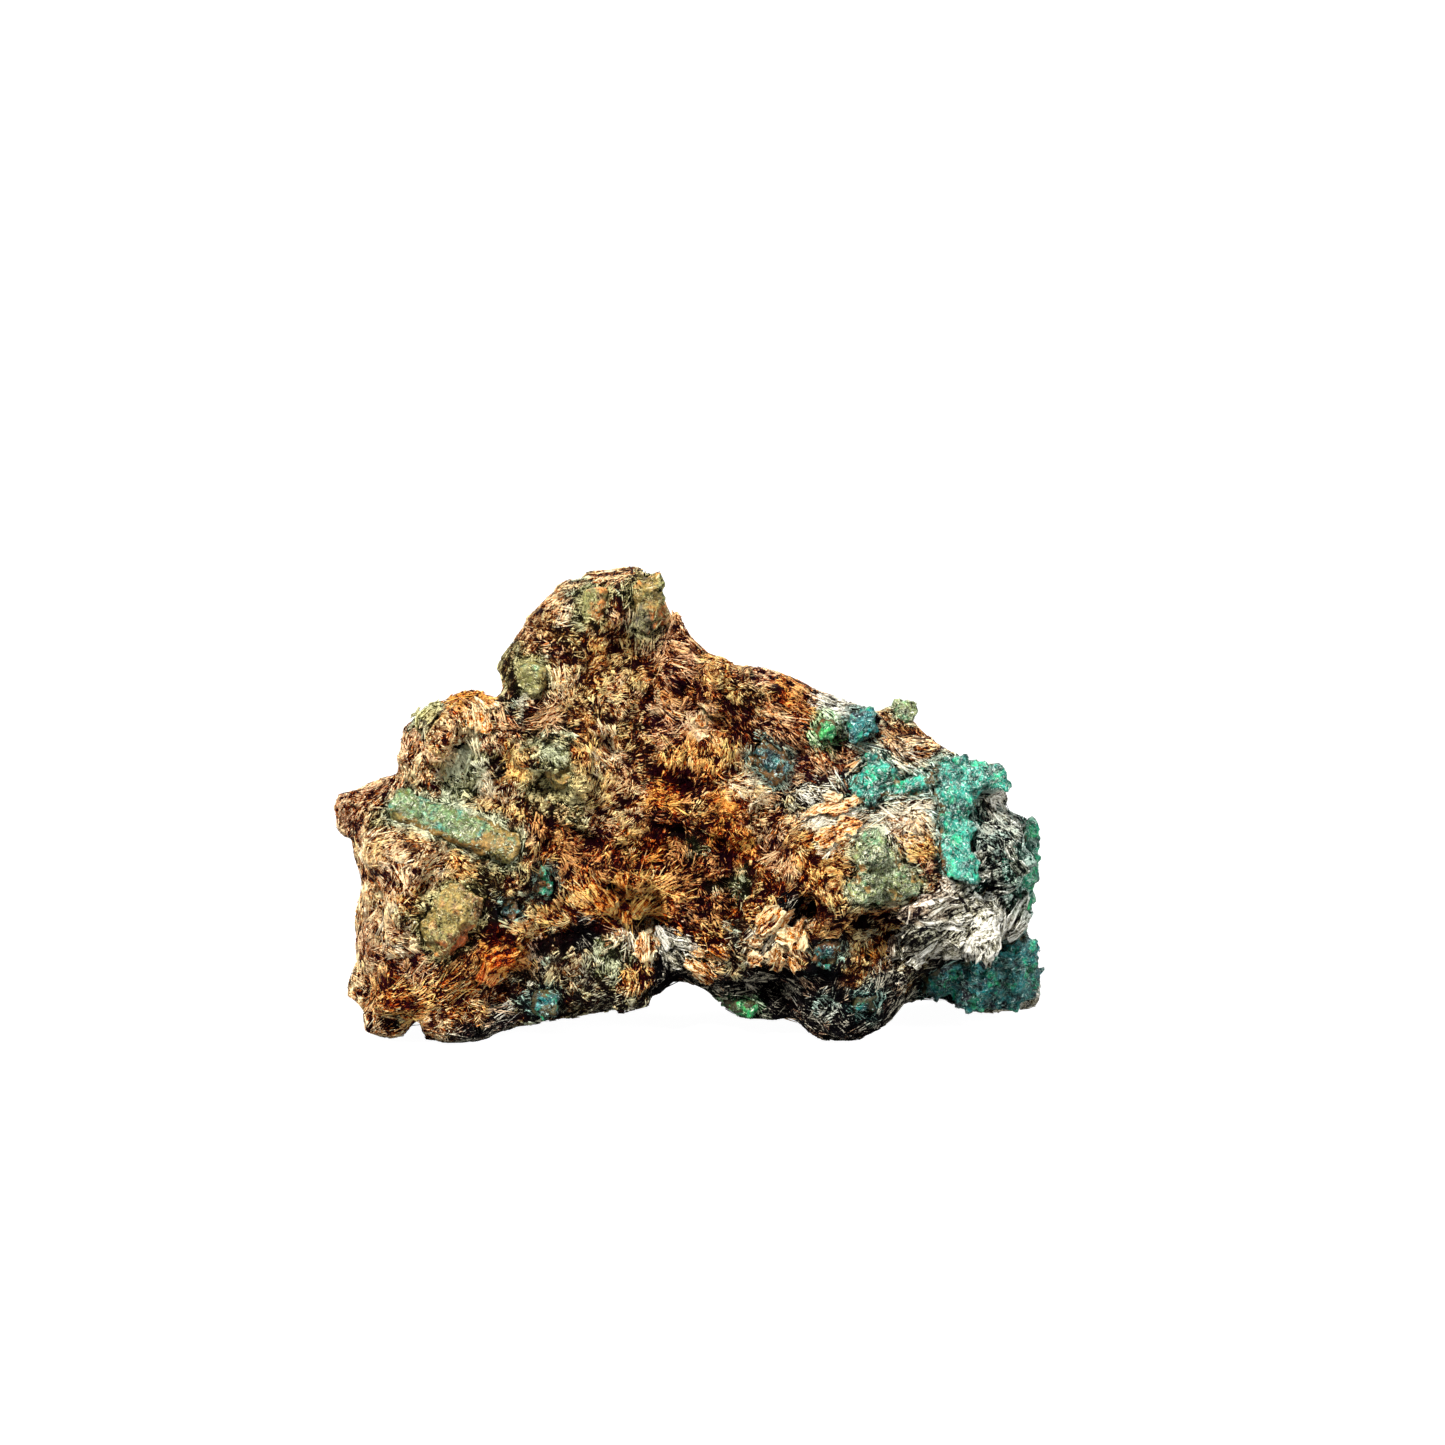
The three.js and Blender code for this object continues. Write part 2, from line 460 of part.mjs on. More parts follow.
// Surface of a field by naive surface nets: one vertex in each cell that the surface
// crosses, at the mean of its edge crossings, and one quad round each crossed grid edge.
function surfaceNets(field, low, high, cell) {
  const count = [0, 1, 2].map((axis) => Math.ceil((high[axis] - low[axis]) / cell) + 1);
  const indexOf = (i, j, k) => (k * count[1] + j) * count[0] + i;
  const values = new Float64Array(count[0] * count[1] * count[2]);
  for (let k = 0; k < count[2]; k++)
    for (let j = 0; j < count[1]; j++)
      for (let i = 0; i < count[0]; i++)
        values[indexOf(i, j, k)] = field(low[0] + i * cell, low[1] + j * cell, low[2] + k * cell);

  const step = [1, count[0], count[0] * count[1]];
  fillPinches(values, count, step);
  const corners = [0, 1, 2, 3, 4, 5, 6, 7].map((n) => [n & 1, (n >> 1) & 1, (n >> 2) & 1]);
  const edges = corners.flatMap((_, a) => [1, 2, 4].filter((bit) => !(a & bit)).map((bit) => [a, a | bit]));
  const positions = [];
  const vertexOf = new Map();
  for (let k = 0; k < count[2] - 1; k++)
    for (let j = 0; j < count[1] - 1; j++)
      for (let i = 0; i < count[0] - 1; i++) {
        const at = corners.map(([a, b, c]) => values[indexOf(i + a, j + b, k + c)]);
        const crossed = edges.filter(([a, b]) => at[a] < 0 !== at[b] < 0);
        if (!crossed.length) continue;
        const sum = [0, 0, 0];
        for (const [a, b] of crossed) {
          const t = at[a] / (at[a] - at[b]);
          [0, 1, 2].forEach((axis) => (sum[axis] += mix(corners[a][axis], corners[b][axis], t)));
        }
        vertexOf.set(indexOf(i, j, k), positions.length / 3);
        [i, j, k].forEach((n, axis) => positions.push(low[axis] + (n + sum[axis] / crossed.length) * cell));
      }

  const point = (n) => new THREE.Vector3().fromArray(positions, 3 * n);
  const triangles = [];
  for (let k = 1; k < count[2] - 1; k++)
    for (let j = 1; j < count[1] - 1; j++)
      for (let i = 1; i < count[0] - 1; i++) {
        const here = indexOf(i, j, k);
        for (let axis = 0; axis < 3; axis++) {
          const inside = values[here] < 0;
          if (inside === values[here + step[axis]] < 0) continue;
          const [u, w] = [step[(axis + 1) % 3], step[(axis + 2) % 3]];
          const quad = [here - u - w, here - w, here, here - u].map((n) => vertexOf.get(n));
          if (!inside) quad.reverse();
          const [a, b, c, d] = quad;
          const shortAC = point(a).distanceTo(point(c)) < point(b).distanceTo(point(d));
          triangles.push(...(shortAC ? [a, b, c, a, c, d] : [b, c, d, b, d, a]));
        }
      }
  return new THREE.BufferGeometry()
    .setAttribute("position", new THREE.Float32BufferAttribute(positions, 3))
    .setIndex(triangles);
}

// ---------------------------------------------------------------------------------------
// Solids
// ---------------------------------------------------------------------------------------

function solidOf(geometry) {
  const bare = geometry.clone();
  bare.deleteAttribute("normal");
  bare.deleteAttribute("uv");
  const merged = mergeVertices(bare, 1e-4);
  return new wasm.Manifold(
    new wasm.Mesh({
      numProp: 3,
      vertProperties: new Float32Array(merged.attributes.position.array),
      triVerts: new Uint32Array(merged.index.array),
    }),
  );
}

function geometryOf(solid) {
  const mesh = solid.getMesh();
  return new THREE.BufferGeometry()
    .setAttribute("position", new THREE.BufferAttribute(mesh.vertProperties, mesh.numProp))
    .setIndex(new THREE.BufferAttribute(mesh.triVerts, 1));
}

const joined = (solids) => solids.reduce((sum, solid) => sum.add(solid));
const largest = (solid) =>
  solid.decompose().reduce((best, body) => (body.volume() > best.volume() ? body : best));

// A six-sided crystal or mica book along a line, with the long way of its section turned
// by spin. jitter makes its corners uneven, and slant tilts its far end.
function sixSided(from, to, radius, { flat = 1, spin = 0, slant = 0, jitter = 0, seed = 0, grow = 0 }) {
  const axis = to.clone().sub(from);
  const length = axis.length();
  const g = new THREE.CylinderGeometry(radius, radius, length, 6, 1);
  const place = g.attributes.position;
  for (let n = 0; n < place.count; n++) {
    const corner = Math.round((Math.atan2(place.getZ(n), place.getX(n)) / Math.PI) * 3) + 6;
    const top = place.getY(n) > 0;
    const centre = Math.hypot(place.getX(n), place.getZ(n)) < 1e-6;
    const wobble = centre ? 0 : jitter * (lattice(corner % 6, top ? 1 : 0, seed, 5) - 0.5);
    const scale = 1 + wobble;
    const x = place.getX(n) * scale;
    const z = place.getZ(n) * scale;
    const out = centre ? 0 : grow / Math.max(Math.hypot(x, z * flat), 1e-6);
    const lift = top ? slant * x + grow : -grow;
    place.setXYZ(n, x * (1 + out), place.getY(n) + lift, z * flat * (1 + out));
  }
  const upright = new THREE.Quaternion().setFromUnitVectors(
    new THREE.Vector3(0, 1, 0),
    axis.normalize(),
  );
  const turned = new THREE.Quaternion().setFromAxisAngle(axis, THREE.MathUtils.degToRad(spin));
  g.applyQuaternion(upright).applyQuaternion(turned);
  return g.translate(...from.clone().lerp(to, 0.5).toArray());
}

// ---------------------------------------------------------------------------------------
// Emeralds as solids
// ---------------------------------------------------------------------------------------

const EMERALD_JITTER = 0.28;
const PITCH_SEED = 17;

function emeraldSolid(name, grow) {
  return joined(
    EMERALDS[name].map((crystal, n) =>
      solidOf(
        sixSided(crystalEnd(crystal.from, crystal.rim), crystalEnd(crystal.to, crystal.rim), crystal.radius, {
          ...crystal,
          jitter: EMERALD_JITTER,
          seed: name.length * PITCH_SEED + n,
          grow,
        }),
      ),
    ),
  );
}

// ---------------------------------------------------------------------------------------
// Mica books that stand out of the rock
// ---------------------------------------------------------------------------------------

// The cleavage's direction is the same all over one block of the rock and differs between
// blocks, so that neighbouring books lie in sheaves.
function cleavage(p) {
  const { cell } = nearestChunk(p.x, p.y, p.z);
  const turn = lattice(...cell, 6) * 2 * Math.PI;
  const tip = Math.acos(mix(0.1, 0.95, lattice(...cell, 7)));
  return new THREE.Vector3(
    Math.sin(tip) * Math.cos(turn),
    Math.sin(tip) * Math.sin(turn) * 0.6,
    Math.cos(tip),
  ).normalize();
}

const BOOKS = 140; // how many are tried
const BOOK_RADIUS = [1.9, 4.8];
const BOOK_THICKNESS = [1.1, 3.4];
const BOOK_PROUD = [0.8, 2.6]; // how far one stands out of the rock
const BOOK_BASE_CLEAR = 2.5; // no book comes lower than this
const BACK_SHARE = 0.08; // share of the books kept on faces turned to the back
const BARREL_BOOK = { from: [3.2, 32.6, 1.4], to: [3.6, 38, 2.2], radius: 4.1, spin: 20 };

// Whether a book of a radius would cover a crystal.
function coversCrystal(middle, radius) {
  return seats.some((seat) => distanceToAxis(seat, middle, 0) < seat.radius + 0.95 * radius);
}

function micaBooks(surface) {
  const place = surface.attributes.position;
  const index = surface.index;
  const made = [];
  for (let n = 0; n < BOOKS; n++) {
    const face = 3 * Math.floor((((n + lattice(n, 3, 1, 8)) / BOOKS) * index.count) / 3);
    const [a, b, c] = [0, 1, 2].map((k) =>
      new THREE.Vector3().fromBufferAttribute(place, index.getX(face + k)),
    );
    const outward = b.clone().sub(a).cross(c.clone().sub(a)).normalize();
    if (outward.y > 0.2 && lattice(n, 3, 9, 8) > BACK_SHARE) continue;
    const middle = a.add(b).add(c).divideScalar(3);
    const inFrom = -outlineDistance(SHOW_OUTLINE, middle.x, seenHeight(middle.y, middle.z));
    const radius = Math.min(mix(...BOOK_RADIUS, lattice(n, 3, 2, 8)), inFrom + 1.5);
    const thickness = Math.min(mix(...BOOK_THICKNESS, lattice(n, 3, 3, 8)), inFrom);
    if (radius < BOOK_RADIUS[0] || middle.z - radius < BOOK_BASE_CLEAR) continue;
    if (coversCrystal(middle, radius)) continue;
    const normal = cleavage(middle);
    const facing = Math.abs(normal.dot(outward));
    const reach = facing * thickness * 0.5 + Math.sqrt(1 - facing ** 2) * radius * 0.9;
    middle.addScaledVector(outward, mix(...BOOK_PROUD, lattice(n, 3, 6, 8)) - reach);
    made.push(
      sixSided(
        middle.clone().addScaledVector(normal, -thickness / 2),
        middle.clone().addScaledVector(normal, thickness / 2),
        radius,
        {
          flat: mix(0.6, 1, lattice(n, 3, 4, 8)),
          spin: 360 * lattice(n, 3, 5, 8),
          slant: 0.3 * (lattice(n, 3, 7, 8) - 0.5),
          jitter: 0.3,
          seed: n,
        },
      ),
    );
  }
  const barrel = sixSided(
    crystalEnd(BARREL_BOOK.from),
    crystalEnd(BARREL_BOOK.to),
    BARREL_BOOK.radius,
    { ...BARREL_BOOK, jitter: 0.15, seed: 99 },
  );
  return [...made, barrel].map(solidOf);
}

// ---------------------------------------------------------------------------------------
// The host rock as a solid
// ---------------------------------------------------------------------------------------

const LOW = [-54, -30, -9];
const HIGH = [54, 32, 68];

// The outline carried back along the sight line. The field stands a little out of it round
// the crest, so this gives the rim its sharp notches and points.
function outlinePrism() {
  const outline = new THREE.Shape(SHOW_OUTLINE.map(([x, v]) => new THREE.Vector2(x, v)));
  const g = new THREE.ExtrudeGeometry(outline, { depth: 70, bevelEnabled: false });
  g.translate(0, -FOOT_DROP, -35).rotateX(Math.PI / 2 - SIGHT_DIP);
  return solidOf(g);
}

const rockSurface = surfaceNets(rockField, LOW, HIGH, CELL);
const aboveGround = new THREE.BoxGeometry(120, 80, 80).translate(0, 0, 40);
const names = Object.keys(EMERALDS);
const rough = joined([solidOf(rockSurface), ...micaBooks(rockSurface)]);
const trimmed = rough.intersect(outlinePrism()).intersect(solidOf(aboveGround));
const rock = largest(
  names.reduce((left, name) => left.subtract(emeraldSolid(name, SOCKET_GAP)), trimmed),
);

// ---------------------------------------------------------------------------------------
// The stone
// ---------------------------------------------------------------------------------------

const stone = new THREE.Group();
stone.name = "emerald_in_matrix";

function addPiece(name, solid, slot) {
  const piece = new THREE.Mesh(geometryOf(solid), new THREE.MeshStandardMaterial(slot));
  piece.name = name;
  stone.add(piece);
}

addPiece("schist_matrix", rock, MICA_SLOT);
for (const name of names)
  addPiece(name, emeraldSolid(name, 0), PALE.has(name) ? PALE_BERYL_SLOT : EMERALD_SLOT);

// The origin is at the middle of the base.
const bounds = new THREE.Box3().setFromObject(stone);
const middle = bounds.getCenter(new THREE.Vector3());
stone.position.set(-middle.x, -middle.y, -bounds.min.z);

export default stone;
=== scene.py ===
import copy
import math

import bpy
import numpy as np
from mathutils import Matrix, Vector, noise
from mathutils.bvhtree import BVHTree
from mathutils.kdtree import KDTree


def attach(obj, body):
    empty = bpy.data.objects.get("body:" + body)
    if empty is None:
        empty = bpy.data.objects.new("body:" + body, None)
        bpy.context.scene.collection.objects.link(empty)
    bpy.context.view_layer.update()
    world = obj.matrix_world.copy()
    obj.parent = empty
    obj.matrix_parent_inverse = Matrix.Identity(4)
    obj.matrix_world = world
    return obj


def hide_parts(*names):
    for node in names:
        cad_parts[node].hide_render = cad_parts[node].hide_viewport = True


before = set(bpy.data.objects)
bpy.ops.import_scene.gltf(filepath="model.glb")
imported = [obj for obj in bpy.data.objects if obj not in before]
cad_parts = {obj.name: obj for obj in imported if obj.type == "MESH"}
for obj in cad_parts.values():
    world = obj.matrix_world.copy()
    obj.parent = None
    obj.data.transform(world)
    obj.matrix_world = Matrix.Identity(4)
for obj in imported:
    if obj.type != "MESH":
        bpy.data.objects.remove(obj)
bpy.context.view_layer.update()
bpy.ops.object.select_all(action="DESELECT")


# The table and the lights. The stone lies on a wide sheet of matt white card, seen a little from
# above through a long lens, under one large soft lamp at the upper left and two weaker ones.
MM = 0.001
LOOK_DOWN = math.radians(10)
STAND_OFF = 900 * MM
FRAME_WIDTH = 178.6 * MM
SENSOR = 36
CAMERA_REACH = 20
AIM = Vector((4.27, -5, 38.6)) * MM
CARD_RADIUS, CARD_CORNERS = 6, 64
LAMPS_AIM = Vector((0, 0, 30)) * MM
ROOM_LIGHT = 0.34


def tint(red, green, blue):
    """A colour given as on a colour card, 0 to 255, in the light that it sends back."""
    shares = [part / 255 for part in (red, green, blue)]
    return tuple(s / 12.92 if s <= 0.04045 else ((s + 0.055) / 1.055) ** 2.4 for s in shares) + (1.0,)


def new_material(name):
    """A new material, its nodes, its links and its Principled shader."""
    made = bpy.data.materials.new(name)
    made.use_nodes = True
    nodes, links = made.node_tree.nodes, made.node_tree.links
    return made, nodes, links, nodes["Principled BSDF"]


away = Vector((0, -math.cos(LOOK_DOWN), math.sin(LOOK_DOWN)))
bpy.ops.object.camera_add(location=AIM + away * STAND_OFF, rotation=(math.pi / 2 - LOOK_DOWN, 0, 0))
camera = bpy.context.object
camera.data.sensor_width = SENSOR
camera.data.lens = SENSOR * STAND_OFF / FRAME_WIDTH
camera.data.clip_end = CAMERA_REACH
bpy.context.scene.camera = camera

bpy.ops.mesh.primitive_circle_add(vertices=CARD_CORNERS, radius=CARD_RADIUS, fill_type="NGON")
card = bpy.context.object
card.name = "white_card"
card_paint, nodes, links, shader = new_material("white_card")
shader.inputs["Roughness"].default_value = 0.9
shader.inputs["Specular IOR Level"].default_value = 0.1
shader.inputs["Emission Color"].default_value = (1, 1, 1, 1)
# the camera sees the card's own even white, and the stone sees a darker card that lights it from below
path = nodes.new("ShaderNodeLightPath")
for low, high, socket in ((0.3, 0.2, "Base Color"), (0.0, 0.98, "Emission Strength")):
    by_ray = nodes.new("ShaderNodeMapRange")
    by_ray.inputs["To Min"].default_value = low
    by_ray.inputs["To Max"].default_value = high
    links.new(path.outputs["Is Camera Ray"], by_ray.inputs["Value"])
    links.new(by_ray.outputs["Result"], shader.inputs[socket])
card.data.materials.append(card_paint)


def lamp(name, place, side, power, colour):
    """A square soft lamp that faces the stone, its place and side in metres and its power in watts."""
    bpy.ops.object.light_add(type="AREA", location=place)
    made = bpy.context.object
    made.name = name
    made.rotation_euler = (LAMPS_AIM - Vector(place)).to_track_quat("-Z", "Y").to_euler()
    made.data.size = side
    made.data.energy = power
    made.data.color = colour


lamp("key_lamp", (-0.45, -0.8, 0.9), 0.22, 37, (1.0, 0.98, 0.95))
lamp("side_lamp", (0.9, -0.6, 0.5), 0.3, 9, (0.95, 0.97, 1.0))
lamp("back_lamp", (0.1, 0.9, 0.8), 0.5, 8, (1.0, 1.0, 1.0))
room = bpy.data.worlds.new("white_room")
bpy.context.scene.world = room
room.use_nodes = True
room.node_tree.nodes["Background"].inputs["Color"].default_value = (1, 1, 1, 1)
room.node_tree.nodes["Background"].inputs["Strength"].default_value = ROOM_LIGHT
bpy.context.scene.view_settings.view_transform = "Standard"
bpy.context.scene.view_settings.look = "None"


# The emeralds. Cloudy green beryl prisms, frosted and pitted where they were broken out of the schist,
# from deep teal to bright green, with pale healed cracks. They grew in the rock and are bedded in it.
EMERALD_VOXEL = 0.33 * MM


def take(piece):
    """Selects that piece alone."""
    bpy.ops.object.select_all(action="DESELECT")
    piece.select_set(True)
    bpy.context.view_layer.objects.active = piece


def new_piece(name, mesh):
    """A new piece with that mesh, selected alone."""
    piece = bpy.data.objects.new(name, mesh)
    bpy.context.collection.objects.link(piece)
    take(piece)
    return piece


def own_copy(node, name):
    """A copy of a CAD solid as a piece of its own, its doubled corners merged."""
    piece = new_piece(name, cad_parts[node].data.copy())
    piece.data.materials.clear()
    bpy.ops.object.mode_set(mode="EDIT")
    bpy.ops.mesh.select_all(action="SELECT")
    bpy.ops.mesh.remove_doubles(threshold=1e-6)
    bpy.ops.object.mode_set(mode="OBJECT")
    return piece


def remesh(piece, size):
    """An even skin of that mesh size over the piece."""
    skin = piece.modifiers.new("even_skin", "REMESH")
    skin.mode = "VOXEL"
    skin.voxel_size = size
    bpy.ops.object.modifier_apply(modifier=skin.name)


def roughen(piece, pattern, size, depth, middle=0.5):
    """Moves the skin in and out by a pattern of lumps of that size."""
    texture = bpy.data.textures.new(pattern.lower(), pattern)
    texture.noise_scale = size
    bump = piece.modifiers.new("lumps", "DISPLACE")
    bump.texture = texture
    bump.texture_coords = "LOCAL"
    bump.strength = depth
    bump.mid_level = middle
    bpy.ops.object.modifier_apply(modifier=bump.name)
    bpy.data.textures.remove(texture)


class Patterns:
    """The nodes of a group, and the steps that its colours are worked out in."""

    def __init__(self, name, inputs, outputs):
        self.group = bpy.data.node_groups.new(name, "ShaderNodeTree")
        for way, sockets in (("INPUT", inputs), ("OUTPUT", outputs)):
            for socket, kind in sockets.items():
                self.group.interface.new_socket(socket, in_out=way, socket_type="NodeSocket" + kind)
        self.nodes, self.links = self.group.nodes, self.group.links
        self.entry = self.nodes.new("NodeGroupInput").outputs
        self.result = self.nodes.new("NodeGroupOutput").inputs

    def put_out(self, **values):
        """The values that the group puts out, each under its name."""
        for name, value in values.items():
            self.links.new(value, self.result[name])

    def place(self):
        """Where on the piece a spot is."""
        return self.nodes.new("ShaderNodeTexCoord").outputs["Object"]

    def field(self, name, output="Fac"):
        """What the piece keeps on its corners under that name."""
        made = self.nodes.new("ShaderNodeAttribute")
        made.attribute_name = name
        return made.outputs[output]

    def noise(self, place, scale, detail, rough, turned=0.0):
        """A noise pattern over that place, with about that many lumps to the metre."""
        made = self.nodes.new("ShaderNodeTexNoise")
        made.inputs["Scale"].default_value = scale
        made.inputs["Detail"].default_value = detail
        made.inputs["Roughness"].default_value = rough
        made.inputs["Distortion"].default_value = turned
        self.links.new(place, made.inputs["Vector"])
        return made.outputs["Fac"]

    def swing(self, *noise):
        """A noise pattern that goes as far below nought as above it."""
        return self.worked("ADD", self.noise(*noise), -0.5)

    def stretched(self, value, low, high, least=0.0, most=1.0):
        """The value, with low sent to the least and high to the most."""
        made = self.nodes.new("ShaderNodeMapRange")
        for socket, amount in (("From Min", low), ("From Max", high), ("To Min", least), ("To Max", most)):
            made.inputs[socket].default_value = amount
        self.links.new(value, made.inputs["Value"])
        return made.outputs["Result"]

    def lines(self, swing, wide, depth=1.0):
        """Thin lines of that depth, where a swinging pattern goes through nought."""
        return self.stretched(self.worked("ABSOLUTE", swing), 0.0, wide, depth, 0.0)

    def worked(self, operation, *values):
        """The values taken together by a sum: MULTIPLY, ADD, MULTIPLY_ADD or ABSOLUTE."""
        made = self.nodes.new("ShaderNodeMath")
        made.operation = operation
        for socket, value in zip(made.inputs, values):
            if isinstance(value, float):
                socket.default_value = value
            else:
                self.links.new(value, socket)
        return made.outputs[0]

    def mixed(self, share, under, over, way="MIX"):
        """The colour under, with the colour over laid on it by the share."""
        made = self.nodes.new("ShaderNodeMix")
        made.data_type = "RGBA"
        made.blend_type = way
        for value, socket in ((share, made.inputs[0]), (under, made.inputs[6]), (over, made.inputs[7])):
            if isinstance(value, (tuple, float)):
                socket.default_value = value
            else:
                self.links.new(value, socket)
        return made.outputs[2]


def fed_by(group, name, values, feeds, strength, distance):
    """A material whose shader sockets are fed by a group's outputs, and the shader."""
    made, nodes, links, shader = new_material(name)
    marks = nodes.new("ShaderNodeGroup")
    marks.node_tree = group
    for socket, value in values.items():
        marks.inputs[socket].default_value = value
    for output, socket in feeds.items():
        links.new(marks.outputs[output], shader.inputs[socket])
    bump = nodes.new("ShaderNodeBump")
    bump.inputs["Strength"].default_value = strength
    bump.inputs["Distance"].default_value = distance
    links.new(marks.outputs["Height"], bump.inputs["Height"])
    links.new(bump.outputs["Normal"], shader.inputs["Normal"])
    return made, shader


beryl = Patterns(
    "beryl_cloud",
    {"Deep": "Color", "Body": "Color", "Bright": "Color", "Veil": "Color", "Veil share": "Float"},
    {"Color": "Color", "Roughness": "Float", "Height": "Float"},
)
place = beryl.place()
cloud = beryl.noise(place, 420, 5, 0.7)
bright_patch = beryl.noise(place, 520, 4, 0.6, 0.6)
sugar = beryl.noise(place, 2200, 5, 0.75)
threads = beryl.noise(place, 1100, 5, 0.7, 2.0)
colour = beryl.mixed(beryl.stretched(cloud, 0.42, 0.56), beryl.entry["Deep"], beryl.entry["Body"])
colour = beryl.mixed(beryl.stretched(bright_patch, 0.52, 0.7), colour, beryl.entry["Bright"])
# pale healed cracks: broad veils of fine threads, and thin scratches
veil = beryl.worked("MULTIPLY", beryl.stretched(threads, 0.6, 0.66), beryl.entry["Veil share"])
colour = beryl.mixed(veil, colour, beryl.entry["Veil"])
scratch = beryl.lines(beryl.swing(place, 800, 3, 0.6, 2.0), 0.022)
scratch = beryl.worked("MULTIPLY", scratch, beryl.entry["Veil share"])
colour = beryl.mixed(scratch, colour, beryl.entry["Veil"])
# dust and stain of the schist on the crystal's rim, dimmed as painted shade where the crystal meets the rock,
# with ragged borders
stain = beryl.worked("ADD", beryl.field("rim"), beryl.worked("MULTIPLY_ADD", threads, 1.4, -0.7))
colour = beryl.mixed(beryl.stretched(stain, 0.35, 0.6), colour, beryl.field("rim_colour", "Color"))
# the sugary grain of a broken face, and painted glints on it
DIM, LIT = (0.2, 0.2, 0.2, 1.0), (1.9, 1.9, 1.9, 1.0)
speckle = beryl.mixed(beryl.stretched(sugar, 0.37, 0.63), DIM, LIT)
colour = beryl.mixed(1.0, colour, speckle, "MULTIPLY")
# painted glints: small spots in the veil's pale colour
painted_glints = beryl.stretched(beryl.noise(place, 1900, 2, 0.5, 1.0), 0.64, 0.7, 0.0, 0.8)
beryl.put_out(
    Color=beryl.mixed(painted_glints, colour, beryl.entry["Veil"]),
    Roughness=beryl.stretched(sugar, 0.3, 0.7, 0.6, 0.3),
    Height=sugar,
)
BERYL_IOR = 1.58
BERYL_GLOW = 0.4 * MM
BERYL_GRAIN = 0.2 * MM


def beryl_paint(name, deep, body, bright, veil, veil_share):
    """Cloudy beryl in those colours."""
    values = {"Deep": tint(*deep), "Body": tint(*body), "Bright": tint(*bright), "Veil": tint(*veil)}
    values["Veil share"] = veil_share
    feeds = {"Color": "Base Color", "Roughness": "Roughness"}
    made, shader = fed_by(beryl.group, name, values, feeds, 0.7, BERYL_GRAIN)
    shader.inputs["IOR"].default_value = BERYL_IOR
    shader.inputs["Specular IOR Level"].default_value = 0.2
    shader.inputs["Subsurface Weight"].default_value = 0.1
    shader.inputs["Subsurface Radius"].default_value = (0.2, 1.0, 0.6)
    shader.inputs["Subsurface Scale"].default_value = BERYL_GLOW
    return made


teal = beryl_paint("teal_emerald", (0, 50, 46), (32, 132, 112), (30, 166, 116), (214, 234, 224), 0.5)
dark_teal = beryl_paint("dark_emerald", (0, 4, 20), (0, 92, 92), (0, 146, 92), (200, 234, 224), 0.3)
bright_green = beryl_paint("bright_emerald", (8, 76, 44), (16, 130, 66), (64, 172, 80), (200, 230, 190), 0.35)
frosted = beryl_paint("frosted_emerald", (78, 82, 38), (86, 112, 70), (62, 128, 110), (222, 224, 196), 0.4)
sage = beryl_paint("pale_beryl", (30, 40, 16), (112, 122, 74), (96, 148, 106), (222, 224, 196), 0.8)
edge_green = beryl_paint("edge_emerald", (0, 52, 40), (6, 116, 84), (18, 160, 84), (206, 232, 216), 0.4)
moss = beryl_paint("olive_beryl", (70, 40, 12), (136, 98, 48), (112, 120, 70), (212, 194, 152), 0.6)
blue_green = beryl_paint("blue_emerald", (2, 8, 20), (6, 44, 52), (18, 92, 84), (180, 206, 202), 0.6)

# each crystal's node, its colour, how far it is lumped, the kind of grains on it, how much schist is left
# on its faces, and how far the schist laps up its sides
CRYSTALS = (
    ("long_emerald", frosted, 1.0, "frosty", 0.1, 1.7),
    ("tall_emerald", teal, 1.8, "teal", 0.0, 0.85),
    ("teal_twins", teal, 1.9, "teal", 0.1, 0.85),
    ("dark_slope_emerald", dark_teal, 1.7, "deep", 0.0, 0.85),
    ("light_slope_emerald", bright_green, 1.5, "green", 0.0, 0.85),
    ("right_edge_emerald", edge_green, 1.2, "teal", 0.0, 0.85),
    ("corner_emeralds", dark_teal, 1.8, "deep", 0.0, 0.85),
    ("blue_emerald", blue_green, 1.9, "deep", 0.35, 1.4),
    ("swelling_emerald", dark_teal, 1.8, "deep", 0.2, 1.1),
    ("left_green_emerald", edge_green, 1.9, "deep", 0.25, 1.1),
    ("left_small_emerald", dark_teal, 1.8, "deep", 0.3, 1.1),
    ("arch_emerald", bright_green, 1.0, "green", 0.3, 0.85),
    ("belly_emerald", dark_teal, 1.8, "deep", 0.3, 1.1),
    ("foot_emerald", dark_teal, 1.8, "deep", 0.3, 1.1),
    ("knob_emerald", sage, 1.3, "sage", 0.0, 0.1),
    ("sage_cluster", sage, 1.6, "sage", 0.12, 0.7),
    ("olive_knob_emerald", moss, 1.5, "mossy", 0.6, 2.0),
    ("mound_emerald", moss, 1.5, "mossy", 0.7, 2.6),
    ("peak_emerald", moss, 1.5, "mossy", 0.75, 2.8),
    ("peak_small_emerald", moss, 1.5, "mossy", 0.75, 2.8),
    ("peak_left_emerald", sage, 1.5, "mossy", 0.7, 2.0),
)
